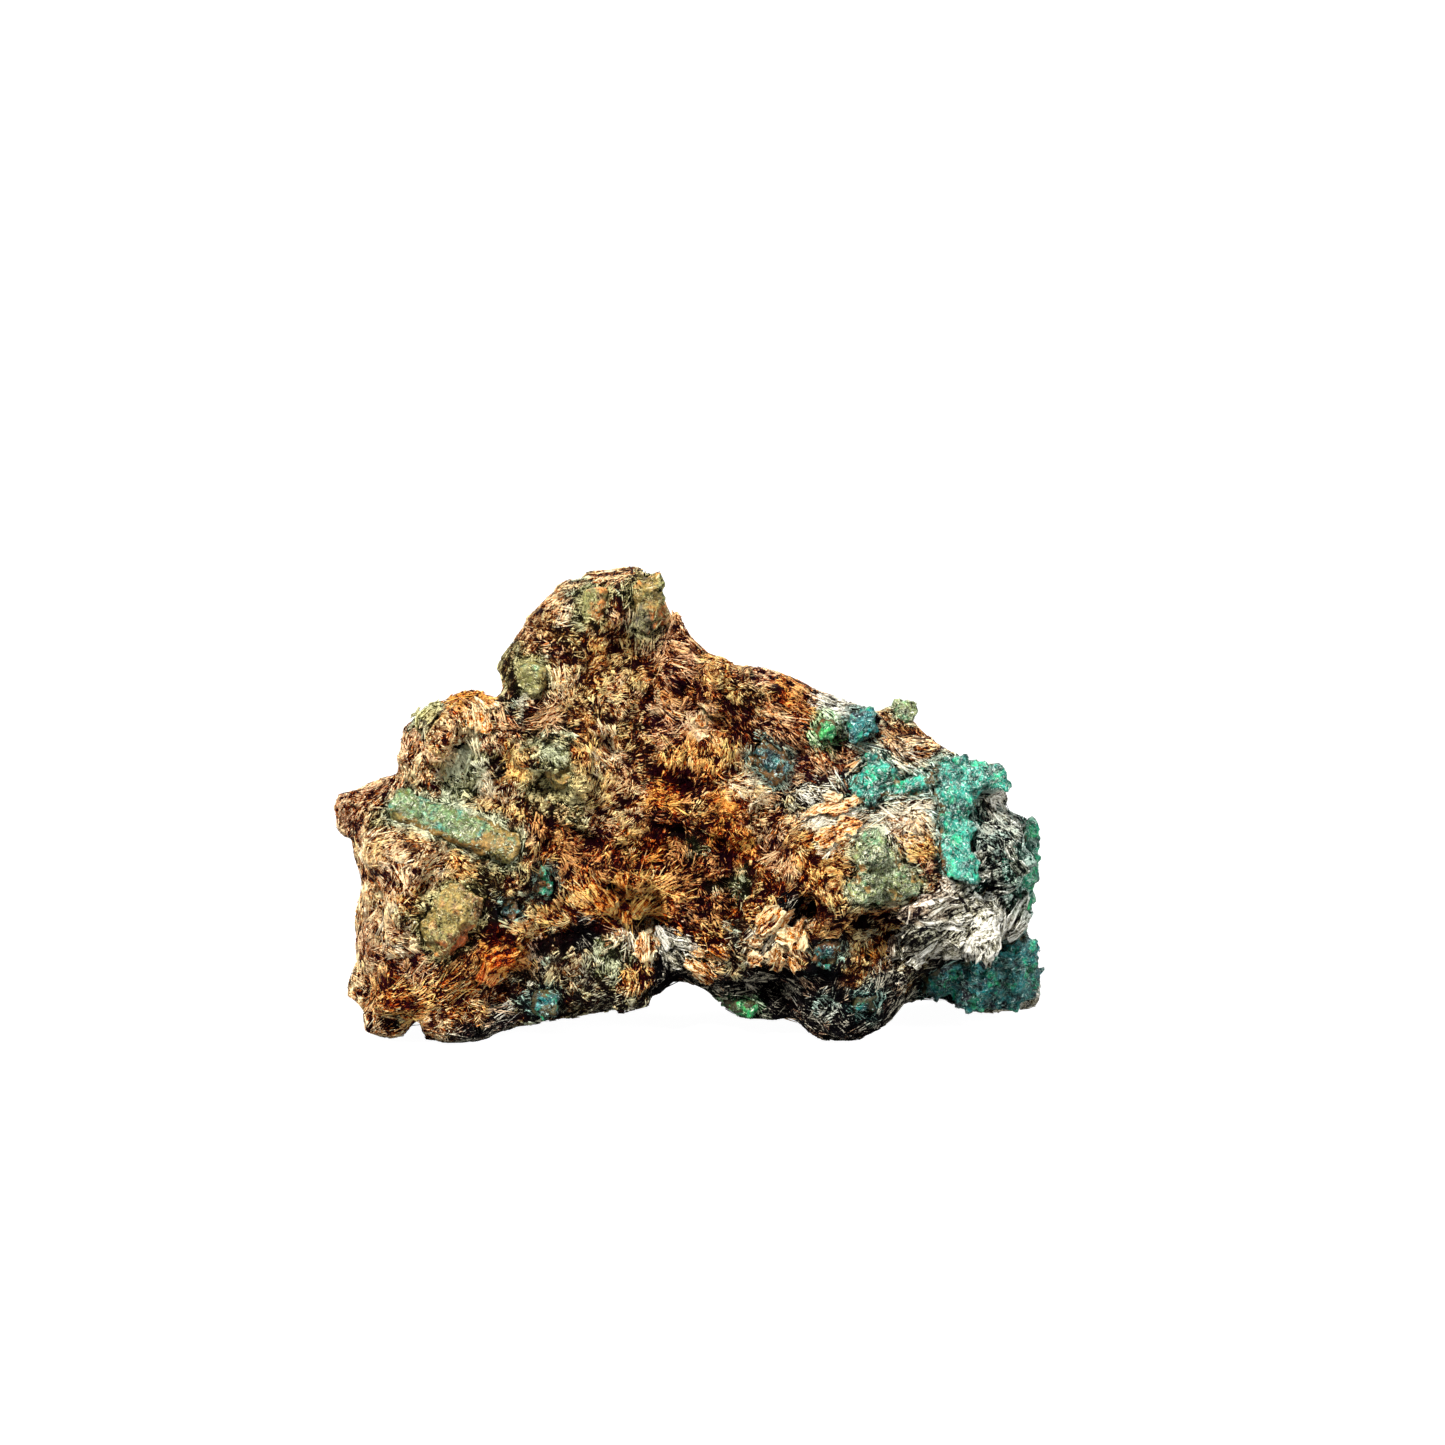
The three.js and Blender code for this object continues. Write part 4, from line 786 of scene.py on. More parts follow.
# seams between the books, sunk into the rock and darkened with painted shade: how wide (mm), how deep (0 to
# 1), and the spots that they run through
SEAMS = (
    (
        0.7, 1.0, (-29, 11.2), (-27, 13.2), (-22.5, 13.3), (-18, 12.4), (-14, 13.8), (-10, 14.9), (-5, 15.1),
        (0.5, 14.4),
    ),
    (0.9, 1.0, (-17.5, 12.2), (-15, 13.2), (-12, 13.6), (-9.8, 14.6)),
    (0.5, 0.8, (-21, 30.5), (-18.6, 28.4), (-15.5, 26.6), (-11.5, 25.3), (-8, 24.6)),
    (0.8, 1.0, (-4.4, 34), (-2, 32.6), (1, 31.9), (3.6, 32.1), (5.8, 33.6)),
    (0.6, 0.7, (-4.8, 52), (-4.2, 48), (-4.4, 44), (-4.6, 40), (-4.4, 36), (-4.2, 33.6)),
    (0.6, 0.9, (18, 31), (20.4, 29.4), (22.6, 28.8), (25.6, 29.6), (30, 30.7)),
    (0.6, 0.9, (15.4, 17.2), (18.6, 16), (22.6, 15.4), (26.6, 16.2)),
    # painted shade in the pit
    (0.9, 0.9, (12.7, 17.6), (13.3, 17.0)),
    (0.4, 0.7, (-30, 26), (-26, 24.3), (-22, 23.2)),
    (0.5, 0.8, (-35, 31.4), (-32.6, 31.6), (-31, 31.2)),
    (0.5, 0.7, (-23, 41), (-20, 38.6), (-16.6, 38.2), (-13.6, 39.2)),
    (0.6, 0.8, (-23.8, 35.4), (-22.8, 34.2)),
    (0.5, 0.7, (-13, 24.2), (-10.6, 22.4), (-7.6, 21.4), (-5, 22.6), (-2, 21.6), (1, 22.4)),
    (0.6, 0.8, (-9, 21), (-7.4, 20.4)),
    (0.5, 0.7, (-4, 26.8), (-1.6, 26), (0, 27.4)),
    (0.5, 0.7, (3.6, 25), (5.2, 22.6), (4.6, 20.4), (2, 19), (-1.6, 19.6)),
    (0.6, 0.8, (-1, 44.8), (1.6, 44), (4, 43.4), (5, 41.4), (7.6, 40.2)),
    (0.5, 0.7, (14, 40.6), (17, 37.6), (20.6, 35.6)),
    (0.5, 0.7, (15, 33.4), (18.4, 31.8), (21.4, 30.6)),
    (0.5, 0.8, (-41, 21.2), (-38, 20.4), (-35.2, 20.2)),
    (0.7, 0.9, (-18.2, 21.6), (-17, 20.6), (-16.8, 19)),
    (0.7, 0.8, (-26, 18.4), (-24.4, 17.2), (-22.6, 15.8)),
    (0.5, 0.8, (34.8, 24.4), (35.4, 22.4), (34.6, 20.6)),
    (0.5, 0.8, (24.6, 10.6), (28, 10.2), (32, 10.4), (36, 9.8), (39.6, 10.6)),
    (0.5, 0.7, (8, 9.6), (12, 8.8), (16, 8.8), (20, 8.2)),
    (0.5, 0.7, (-8, 11.8), (-6.6, 9.4), (-5.4, 7)),
)
# rounded swellings of the ground: across, up, half its width, half its height, how far it stands out (mm)
SWELLS = (
    (-16.6, 34.4, 5.2, 5.4, 1.5),
    (-27, 35.4, 3.8, 4.0, 2.4),
    (13, 17.4, 2.4, 2.2, 2.0),
    (1.6, 36.2, 3.9, 4.2, 1.5),
    (-31.6, 15.2, 4.2, 4.4, 0.9),
    (-32.6, 36.8, 3.2, 5, 0.8),
    (-33, 24, 7, 3.4, 0.7),
    (-30, 6.4, 8.5, 2.6, 0.8),
    (-7.6, 17.6, 4.4, 2.6, 0.5),
    (17.8, 27.4, 5.6, 1.9, 0.8),
    (11, 12.8, 4.6, 2.6, 0.8),
    (33, 14.4, 6, 3.2, 1.0),
    (24.4, 22.4, 4.4, 3.6, 0.6),
    (9.4, 30.6, 3, 1.8, 0.6),
    (-5.4, 13, 3, 1.7, 0.7),
    (19.8, 10.6, 2.8, 2.4, 0.6),
)
patch_places = np.array([patch[:2] for patch in PATCHES])
patch_reach = np.array([patch[2] for patch in PATCHES])
patch_roots = np.array([patch[4] or (np.nan, np.nan) for patch in PATCHES])
patch_tone_and_painted_light = np.array([patch[5] for patch in PATCHES])
patch_long, patch_tangle, patch_wide = np.array([GROUNDS[patch[3]][1:] for patch in PATCHES]).T
patch_mixes = np.array([[GROUNDS[patch[3]][0].get(kind, 0) for kind in KINDS] for patch in PATCHES])
patch_mixes = patch_mixes / patch_mixes.sum(axis=1, keepdims=True)


def patch_shares(places):
    """How much of each patch there is at each place: borders are ragged and a little blurred."""
    flat = seen(stirred(stirred(places, 3.0, 1.4), 0.9, 0.9))
    shares = []
    for some in np.array_split(flat, 1 + len(flat) // 20000):
        gap = some[:, None] - patch_places[None]
        far = np.hypot(gap[:, :, 0], gap[:, :, 1]) / patch_reach
        share = np.exp(-5 * (far**2 - far.min(axis=1, keepdims=True) ** 2))
        shares.append(share / share.sum(axis=1, keepdims=True))
    return np.concatenate(shares)


def drawn_kinds(shares):
    """A kind of mica for each place, drawn from its patches' mixture."""
    chance = np.cumsum(shares @ patch_mixes, axis=1)
    return (rng.random((len(shares), 1)) * 0.999 > chance).sum(axis=1)


def seam_at(places):
    """How deep in a dark seam each place is, 0 to 1."""
    flat = seen(stirred(places, 1.2, 0.8))
    deep = np.zeros(len(places))
    for wide, depth, *spots in SEAMS:
        for start, end in zip(np.array(spots[:-1]), np.array(spots[1:])):
            way = end - start
            along = np.clip((flat - start) @ way / (way @ way), 0, 1)
            off = np.linalg.norm(flat - start - along[:, None] * way, axis=1)
            deep = np.maximum(deep, depth * np.exp(-((off / wide) ** 2)))
    return deep


def swell_at(places):
    """How far the ground swells out at each place, in millimetres."""
    flat = seen(stirred(places, 3.0, 1.0))
    out = np.zeros(len(places))
    for across, up, half_wide, half_high, rise in SWELLS:
        off = ((flat[:, 0] - across) / half_wide) ** 2 + ((flat[:, 1] - up) / half_high) ** 2
        out = np.maximum(out, rise * np.sqrt(np.clip(1 - off, 0, 1)))
    return out


# the rock's own lumps: pattern, size (mm), depth (mm)
LUMPS = (("CLOUDS", 5, 0.6), ("VORONOI", 3.1, -0.25))
rock = own_copy("schist_matrix", "rock")
remesh(rock, ROCK_VOXEL)
for pattern, size, depth in LUMPS:
    roughen(rock, pattern, size * MM, depth * MM)
rock_ground = Ground(rock, 8)

# the sheaves: where each stands, what mica it is, the root that its books run from, and how it lies. Where
# no patch says where the root is, the books follow one slow swirl over the whole stone.
SHEAVES = 3000
SHORTEST_REACH, LONGEST_REACH, FREE_REACH = 2.5, 14, 9
sheaf_face, sheaf_places = rock_ground.scatter(SHEAVES)
sheaf_out = rock_ground.facing[sheaf_face]
sheaf_shares = patch_shares(sheaf_places)
sheaf_patch = sheaf_shares.argmax(axis=1)
sheaf_kind = drawn_kinds(sheaf_shares)
sheaf_shade = rng.normal(0, 0.07, SHEAVES)
sheaf_size = rng.lognormal(0, 0.5, SHEAVES) * patch_wide[sheaf_patch]
lie = seen(sheaf_places) - patch_roots[sheaf_patch]
led = ~np.isnan(lie[:, 0]) & (sheaf_out[:, 1] < 0)
heading = 2.2 * wobble(sheaf_places, 16, 30) + 0.35
swirl = FREE_REACH * np.stack([np.cos(heading), np.sin(heading)], axis=1)
lie = np.where(led[:, None], np.nan_to_num(lie), swirl)
sheaf_reach = np.clip(np.linalg.norm(lie, axis=1), SHORTEST_REACH, LONGEST_REACH)
sheaf_reach = sheaf_reach * rng.uniform(0.6, 1.2, SHEAVES) * MM
lie = unit(np.stack([lie[:, 0], np.zeros(SHEAVES), lie[:, 1]], axis=1))
stray = unit(rng.normal(size=(SHEAVES, 3)))
sheaf_along = square_to(lie + (0.25 + 0.9 * patch_tangle[sheaf_patch])[:, None] * stray, sheaf_out)
sheaf_across = np.cross(sheaf_out, sheaf_along)
sheaf_roots = sheaf_places - sheaf_along * sheaf_reach[:, None]
sheaf_curl = rng.normal(0, 0.2, SHEAVES)
sheaf_lean = rng.uniform(-0.7, 0.7, SHEAVES)
sheaf_rise = rng.normal(0, 0.06, SHEAVES)
sheaf_tilt = rng.normal(0.04, 0.07, SHEAVES)
sheaf_tree = KDTree(SHEAVES)
for number, place in enumerate(sheaf_places.tolist()):
    sheaf_tree.insert(place, number)
sheaf_tree.balance()


def sheaf_of(places):
    """The sheaf of each place, and how far the place is from the sheaf's border, in millimetres."""
    moved = stirred(places, 0.9, 0.5)
    near = np.array([[found[1] for found in sheaf_tree.find_n(place, 9)] for place in moved.tolist()])
    gap = moved[:, None] - sheaf_places[near]
    ahead, aside = along_part(gap, sheaf_along[near]) / 2, along_part(gap, sheaf_across[near])
    far = np.sqrt(ahead**2 + aside**2 + along_part(gap, sheaf_out[near]) ** 2) / sheaf_size[near]
    order = np.argsort(far, axis=1)[:, :2]
    rows = np.arange(len(places))
    own = near[rows, order[:, 0]]
    return own, (far[rows, order[:, 1]] - far[rows, order[:, 0]]) * sheaf_size[own] / MM


def run_of(places, own):
    """How far each place is along its sheaf from the root, and how far round, in millimetres."""
    gap = places - sheaf_roots[own]
    ahead, aside = along_part(gap, sheaf_along[own]), along_part(gap, sheaf_across[own])
    far = np.hypot(ahead, aside)
    round_by = np.arctan2(aside, ahead) * sheaf_reach[own]
    round_by = round_by - 0.5 * sheaf_curl[own] / MM * (far - sheaf_reach[own]) ** 2
    return far / MM, round_by / MM


# the kinds of mica on each kind of crystal. The first of them also stains the rock round it.
GRAINS = {
    "mossy": ("mossy", "tan", "mossy", "golden"),
    "sage": ("sage", "mossy", "sage", "cream"),
    "frosty": ("frosty", "frosty", "sage"),
    "teal": ("teal", "teal", "green", "silver"),
    "green": ("green", "green", "teal", "silver"),
    "deep": ("deep", "deep", "teal", "silver"),
}
crystal_grounds = [Ground(piece, 3) for piece in crystals]


def crust_by(places, reach):
    """The kind of crystal crust next to each place, and how near it is: 1 at the crystal, 0 at the reach."""
    kind, near = np.zeros(len(places), int), np.zeros(len(places))
    for ground, (_, _, _, grains, _, _) in zip(crystal_grounds, CRYSTALS):
        for number in np.nonzero(ground.by(places, reach))[0]:
            spot, _, _, away = ground.tree.find_nearest(Vector(places[number]), reach)
            if spot is not None and 1 - away / reach > near[number]:
                kind[number], near[number] = KINDS.index(GRAINS[grains][0]), 1 - away / reach
    return kind, near


# the relief of the rock, in millimetres: each sheaf higher or lower than the next and tilted, ridged along
# its books, with swellings, seams, and a raised crust round each crystal
CRUST_REACH, STAIN_REACH = 1.4 * MM, 1.6 * MM
RIDGE_HIGH, SWELL_HIGH, CRUST_HIGH = 0.2, 0.6, 0.8
SEAM_DEEP, BORDER_DEEP, BORDER_WIDE = 0.9, 0.12, 0.3
own, border = sheaf_of(rock_ground.points)
far, round_by = run_of(rock_ground.points, own)
along_books = np.stack([far * 0.3, round_by * 1.3, own * 3.7], axis=1)
ridges = np.array([noise.noise(Vector(spot)) for spot in along_books])
step = np.clip((far - sheaf_reach[own] / MM) / (2 * sheaf_size[own]), -1, 1)
wide_normals = unit(averaged(normals_of(rock.data), rock.data, 6))
front = np.clip(-2 * wide_normals[:, 1], 0, 1)
relief = sheaf_rise[own] + sheaf_tilt[own] * step + RIDGE_HIGH * ridges
relief -= BORDER_DEEP * np.exp(-border / BORDER_WIDE)
relief += front * (SWELL_HIGH * swell_at(rock_ground.points) - SEAM_DEEP * seam_at(rock_ground.points))
relief += CRUST_HIGH * crust_by(rock_ground.points, CRUST_REACH)[1]
moved = rock_ground.points + wide_normals * (averaged(relief[:, None], rock.data, 1) * MM)
rock.data.vertices.foreach_set("co", moved.reshape(-1))
rock.data.update()
rock_ground = Ground(rock, 6)
smooth_normals = unit(averaged(normals_of(rock.data), rock.data, 8))
hollowness = along_part(averaged(moved, rock.data, 16) - moved, smooth_normals) / MM


def colours_at(places, shares, kinds, own_share):
    """The four colours and the lustre at each place: the patches' mixture, with a share of one kind."""
    mixes = (1 - own_share) * (shares @ patch_mixes) + own_share * np.eye(len(KINDS))[kinds]
    crust, near = crust_by(places, STAIN_REACH)
    stain = np.clip(near * 1.5 - 0.3 + 0.5 * wobble(places, 0.7, 70), 0, 0.85)[:, None]
    mixes = (1 - stain) * mixes + stain * np.eye(len(KINDS))[crust]
    return np.einsum("pk,ksc->psc", mixes, palettes), mixes @ lustres


SHADES = ("shadow_colour", "low_colour", "body_colour", "light_colour")


def set_colours(mesh, colours, lustre):
    """Keeps the four colours and the lustre on the mesh's corners."""
    for step, name in enumerate(SHADES):
        set_values(mesh, name, "FLOAT_COLOR", colours[:, step])
    set_values(mesh, "lustre", "FLOAT", lustre)


def shade_at(places, shares, own):
    """How light the ground is at each place, from its patches with their painted shade and light, its sheaf,
    the painted shade of its seams, and its dark blots.
    """
    patches = shares @ patch_tone_and_painted_light - 0.7 * seam_at(places)
    blots = np.clip(wobble(places, 1.3, 13) - 0.06, 0, 0.3)
    cloudy = 0.12 * wobble(places, 2.5, 11) + 0.35 * wobble(places, 0.7, 12)
    return patches + sheaf_shade[own] + 0.08 + cloudy - 2.2 * blots


def painted_hollow_shade(hollow):
    """Painted shade and light: how much darker a hollow of that depth is, in millimetres, and how much
    lighter a crest.
    """
    return 0.8 * np.clip(hollow, -0.12, 0.5)


ROCK_TONE = 0.37
shares = patch_shares(rock_ground.points)
colours, lustre = colours_at(rock_ground.points, shares, sheaf_kind[own], 0.35)
set_colours(rock.data, colours, lustre)
# the ground's tone, with painted shade in its hollows and painted light on its crests
tone = ROCK_TONE + shade_at(rock_ground.points, shares, own) - painted_hollow_shade(hollowness)
# painted shade in the crevices along the sheaves' borders
tone -= 0.25 * np.exp(-border / 0.2)
set_values(rock.data, "tone", "FLOAT", tone)
set_values(rock.data, "strand", "FLOAT_VECTOR", np.stack([far * 0.4, round_by * 3.2, own * 7.3], axis=1))

# the markings of mica. The tone is worked out first, and it then picks from the four colours of the spot.
MARKINGS = ("Streaks", "Cracks", "Grain", "Threads", "Flecks")
mica = Patterns(
    "mica_streaks",
    {name: "Float" for name in MARKINGS},
    {"Color": "Color", "Lustre": "Float", "Roughness": "Float", "Height": "Float"},
)
strand = mica.field("strand", "Vector")
place = mica.place()
# dark and light streaks along the books, dark cracks between them, small pale threads and dark pits
streaks = mica.swing(strand, 1.0, 5, 0.7, 0.5)
cracks = mica.lines(mica.swing(strand, 0.45, 4, 0.65, 1.2), 0.05, -1.0)
grain = mica.swing(place, 3200, 4, 0.75)
threads = mica.lines(mica.swing(place, 1300, 3, 0.6, 1.5), 0.03)
flecks = mica.stretched(mica.noise(place, 1500, 4, 0.65, 0.8), 0.52, 0.58, 0.0, -1.0)
patterns = {"Streaks": streaks, "Grain": grain, "Cracks": cracks, "Threads": threads, "Flecks": flecks}
total = mica.field("tone")
for name, pattern in patterns.items():
    total = mica.worked("MULTIPLY_ADD", pattern, mica.entry[name], total)
total = mica.worked("MULTIPLY_ADD", total, 1.5, -0.21)
# the tones between which each colour gives way to the next lighter one
STEPS = ((0.2, 0.34), (0.34, 0.52), (0.62, 0.94))
colour = mica.field(SHADES[0], "Color")
for (low, high), name in zip(STEPS, SHADES[1:]):
    colour = mica.mixed(mica.stretched(total, low, high), colour, mica.field(name, "Color"))
mica.put_out(
    Color=colour,
    Lustre=mica.field("lustre"),
    Roughness=mica.stretched(total, 0.1, 0.9, 0.55, 0.3),
    Height=total,
)


def mica_paint(name, streaks, cracks, grain, threads, flecks, depth):
    """Mica in the colours that its piece keeps, with that much contrast in each of its markings."""
    values = dict(zip(MARKINGS, (streaks, cracks, grain, threads, flecks)))
    feeds = {"Color": "Base Color", "Lustre": "Metallic", "Roughness": "Roughness"}
    made, shader = fed_by(mica.group, name, values, feeds, 1, depth * MM)
    shader.inputs["Specular IOR Level"].default_value = 0.06
    return made


rock.data.materials.append(mica_paint("crevice_schist", 2.2, 0.5, 1.3, 0.5, 0.5, 0.25))
take(rock)
bpy.ops.object.shade_smooth()
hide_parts("schist_matrix")
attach(rock, "root")


def schist_on(places, cover, lap):
    """How much schist is left on a crystal at each place, 0 to 1: most at its rim."""
    away = np.linalg.norm(places - rock_ground.landing(places)[0], axis=1) / MM
    left = lap - away / 1.3 + 0.5 * wobble(places, 1.0, 9)
    if cover > 0:
        scraps = wobble(places, 2.0, 21) + 0.5 * wobble(places, 0.8, 22) + cover
        left = np.maximum(left, 0.5 + 1.6 * (scraps - 0.55))
    return np.clip(left, 0, 1)


# where along the stone the bare part of the long crystal ends, in millimetres
LONG_BARE_TO = -28.5
# the stain on each crystal's rim: how much of the schist's colour is in it, and how much of the moss's. On
# the dark crystals the schist's colour is dimmed far down, painted shade where the crystal meets the rock
MOST_STAIN = 1.2
DARK_STAIN_AND_SHADE, PALE_STAIN, MOSS_STAIN = (0.12, 0.1), (0.22, 0.4), (0.75, 0.12)
for piece, ground, (node, paint, _, _, cover, lap) in zip(crystals, crystal_grounds, CRYSTALS):
    rim = schist_on(ground.points, cover, min(lap, MOST_STAIN))
    if node == "long_emerald":
        # its right half is still in the schist, and its downward faces take more of the rim's colour
        buried = np.clip((ground.points[:, 0] / MM - LONG_BARE_TO) / 3.5, 0, 1)
        below = unit(averaged(normals_of(piece.data), piece.data, 3))[:, 2]
        rim = np.clip(rim + buried - 0.7 * below - 0.2, 0, 1)
    set_values(piece.data, "rim", "FLOAT", rim)
    # on the dark crystals the rim's schist colour is dimmed far down as painted shade
    share, mossy = MOSS_STAIN if paint is moss else PALE_STAIN if paint in (sage, frosted) else DARK_STAIN_AND_SHADE
    tones = share * (0.6 * palettes[:, 2] + 0.4 * palettes[:, 1])
    around = np.einsum("pk,kc->pc", patch_shares(ground.points) @ patch_mixes, tones)
    around = around + mossy * palettes[KINDS.index("mossy"), 2]
    set_values(piece.data, "rim_colour", "FLOAT_COLOR", around)


# The fine mica. Phlogopite and biotite in thin books that splay into sheaves; every strand is the edge
# of a split and bent sheet, tapered at its ends, and lies along its sheaf. It is near black where it is
# fresh and shaded, and gold, tan or cream where it is weathered.
FAR_END = (1, 0.5, 0.7)


def modelled(add, **sizes):
    """The corners and triangles of a strand made from a primitive: two long, and thinner at its far end."""
    bpy.ops.object.select_all(action="DESELECT")
    add(vertices=3, depth=2, end_fill_type="NGON", rotation=(0, math.pi / 2, 0), **sizes)
    made = bpy.context.object
    bpy.ops.object.transform_apply(location=False, rotation=True, scale=False)
    bpy.ops.object.mode_set(mode="EDIT")
    bpy.ops.mesh.select_all(action="DESELECT")
    bpy.ops.object.mode_set(mode="OBJECT")
    for corner in made.data.vertices:
        corner.select = corner.co.x > 0
    bpy.ops.object.mode_set(mode="EDIT")
    bpy.ops.transform.resize(value=FAR_END)
    bpy.ops.mesh.select_all(action="SELECT")
    bpy.ops.mesh.quads_convert_to_tris()
    bpy.ops.mesh.normals_make_consistent(inside=False)
    bpy.ops.object.mode_set(mode="OBJECT")
    shape = points_of(made.data), triangles_of(made.data)
    bpy.data.objects.remove(made)
    return shape


BLADE = modelled(bpy.ops.mesh.primitive_cylinder_add, radius=1)
SPLINTER = modelled(bpy.ops.mesh.primitive_cone_add, radius1=1, radius2=0)
# a triangle's width and its height, for a radius of one
TRIANGLE_WIDE, TRIANGLE_HIGH = 1.73, 1.5
# a book's strands: how many, how wide, how thick and how far apart they are, how far they fan out (radians),
# and how far their two ends stand off the ground. Sizes are in millimetres.
PLATES = 6
BLADE_WIDE, SPLINTER_WIDE = 0.16, 0.115
THICK = (0.09, 0.16)
APART = (0.11, 0.22)
FAN = (0.0, 0.5)
LIFTS = (0.02, 0.05)
# the share of books that have their sheaf's kind of mica, and how much of a book's colour is its kind's own
LIKE_SHEAF, OWN_SHARE = 0.5, 0.4
# how light a strand is in the middle, with a painted highlight on its crest, on its sides, and with painted
# shade at its foot
STRAND_TONE, CREST_HIGHLIGHT, SIDES, FOOT_SHADE = 0.55, 0.2, 0.04, -0.22
MOST_LAP = 1.2


class Strands:
    """A growth of mica on a ground, as arrays with one row for each strand."""

    def __init__(self, ground, shape, books, broad, size=1.0, grains=None, cover=0.0, lap=0.0):
        def each(values):
            return np.repeat(values, PLATES, axis=0)

        # the books: where each stands, its kind and shade, and how long and tangled its strands are
        count = books * PLATES
        self.shape = shape
        face, places = ground.scatter(books)
        own, border = sheaf_of(places)
        shares = patch_shares(places)
        kind = drawn_kinds(shares)
        kind = np.where(rng.random(books) < LIKE_SHEAF, sheaf_kind[own], kind)
        shade = shade_at(places, shares, own)
        tangle, length = shares @ patch_tangle, shares @ patch_long
        own_share = np.full(books, OWN_SHARE)
        if grains:
            inner = schist_on(places, cover, lap) < rng.uniform(0.3, 0.7, books)
            if grains == "frosty":
                inner &= places[:, 0] / MM < -26.5 + rng.uniform(0, 4, books)
            kind = np.where(inner, rng.choice([KINDS.index(name) for name in GRAINS[grains]], books), kind)
            shade = np.where(inner, 0.5 * shade + 0.06, shade)
            tangle, length = np.where(inner, 0.9, tangle), np.where(inner, 0.8, length)
            own_share = np.where(inner, 1.0, own_share)
        colours, lustre = colours_at(places, shares, kind, own_share[:, None])
        self.colours, self.lustre = each(colours), each(lustre)

        # the strands of each book: away from the sheaf's root, fanned out, side by side
        way = ground.facing[face]
        lead = square_to(places - sheaf_roots[own], way)
        lead = square_to(lead + rng.normal(size=(books, 3)) * (0.22 + 0.7 * tangle)[:, None], way)
        across = np.cross(way, lead)
        turn = np.tile(np.linspace(-1, 1, PLATES), books)
        apart = each(rng.uniform(*APART, books)) * PLATES * 0.5 * MM * size
        angle = turn * each(rng.uniform(*FAN, books)) + rng.normal(0, 0.12, count)
        long = each(rng.lognormal(0.02, 0.35, books) * length) * rng.uniform(0.6, 1.3, count) * MM * size
        wide = each(rng.lognormal(0, 0.4, books)) * rng.uniform(0.6, 1.5, count) * broad * MM * size
        thick = rng.uniform(*THICK, count) * MM * size
        curl = each(sheaf_curl[own] + rng.normal(0, 0.2 + 0.5 * tangle)) / MM
        head = np.cos(angle)[:, None] * each(lead) + np.sin(angle)[:, None] * each(across)
        side = np.cross(each(way), head)
        middle = each(places) + each(across) * (turn * apart)[:, None]
        middle = middle + head * (rng.normal(0, 0.15, count) * long)[:, None]

        # both ends of each strand, landed on the ground and lifted a little, the far end a little free
        stations = np.unique(np.round(shape[0][:, 0], 3))
        self.spots, ups = [], []
        free = np.abs(rng.normal(0, 0.03, count))
        rise = each(rng.normal(0.0, 0.06, books)) + rng.normal(0, 0.045, count)
        for station, lift in zip(stations, LIFTS):
            forward = station * long / 2
            spot = middle + head * forward[:, None] + side * (0.5 * curl * forward**2)[:, None]
            spot, self.face = ground.landing(spot)
            up = ground.facing[self.face]
            height = lift * size + rise + (free if station > 0 else 0)
            self.spots.append(spot + up * (height * MM)[:, None])
            ups.append(up)
        self.spots, ups = np.stack(self.spots, axis=1), np.stack(ups, axis=1)
        tangent = unit(np.gradient(self.spots, axis=1))
        lean = each(sheaf_lean[own] + rng.normal(0, 0.25, books)) + rng.normal(0, 0.1, count)
        flat = unit(np.cross(ups, tangent))
        self.out = square_to(np.sin(lean)[:, None, None] * flat + np.cos(lean)[:, None, None] * ups, tangent)
        self.broad = np.cross(tangent, self.out)
        self.wide, self.thick, self.long = wide / TRIANGLE_WIDE, thick / TRIANGLE_HIGH, long
        self.landed = self.spots.mean(axis=1)

        # its tone: painted shade and light, darker where it lies low and lighter where it stands higher, and
        # a few strands bright with painted glints and a few dark
        shade = each(shade + rng.normal(0, 0.12, books))
        self.tone = STRAND_TONE + shade + rng.normal(0, 0.26, count) + 1.6 * rise
        self.tone += rng.choice([0, 0.45, -0.4], count, p=[0.77, 0.11, 0.12])
        self.kept = ~each((border < 0.3) & (rng.random(books) < 0.5))
        self.stripe = rng.uniform(0, 900, count)

    def pick(self, chosen):
        """A growth of only those strands."""
        picked = copy.copy(self)
        for name, values in vars(self).items():
            if name != "shape":
                setattr(picked, name, values[chosen])
        return picked

    def joined(self, others):
        """This growth and the others as one."""
        whole = copy.copy(self)
        for name, values in vars(self).items():
            if name != "shape":
                setattr(whole, name, np.concatenate([values] + [getattr(other, name) for other in others]))
        return whole


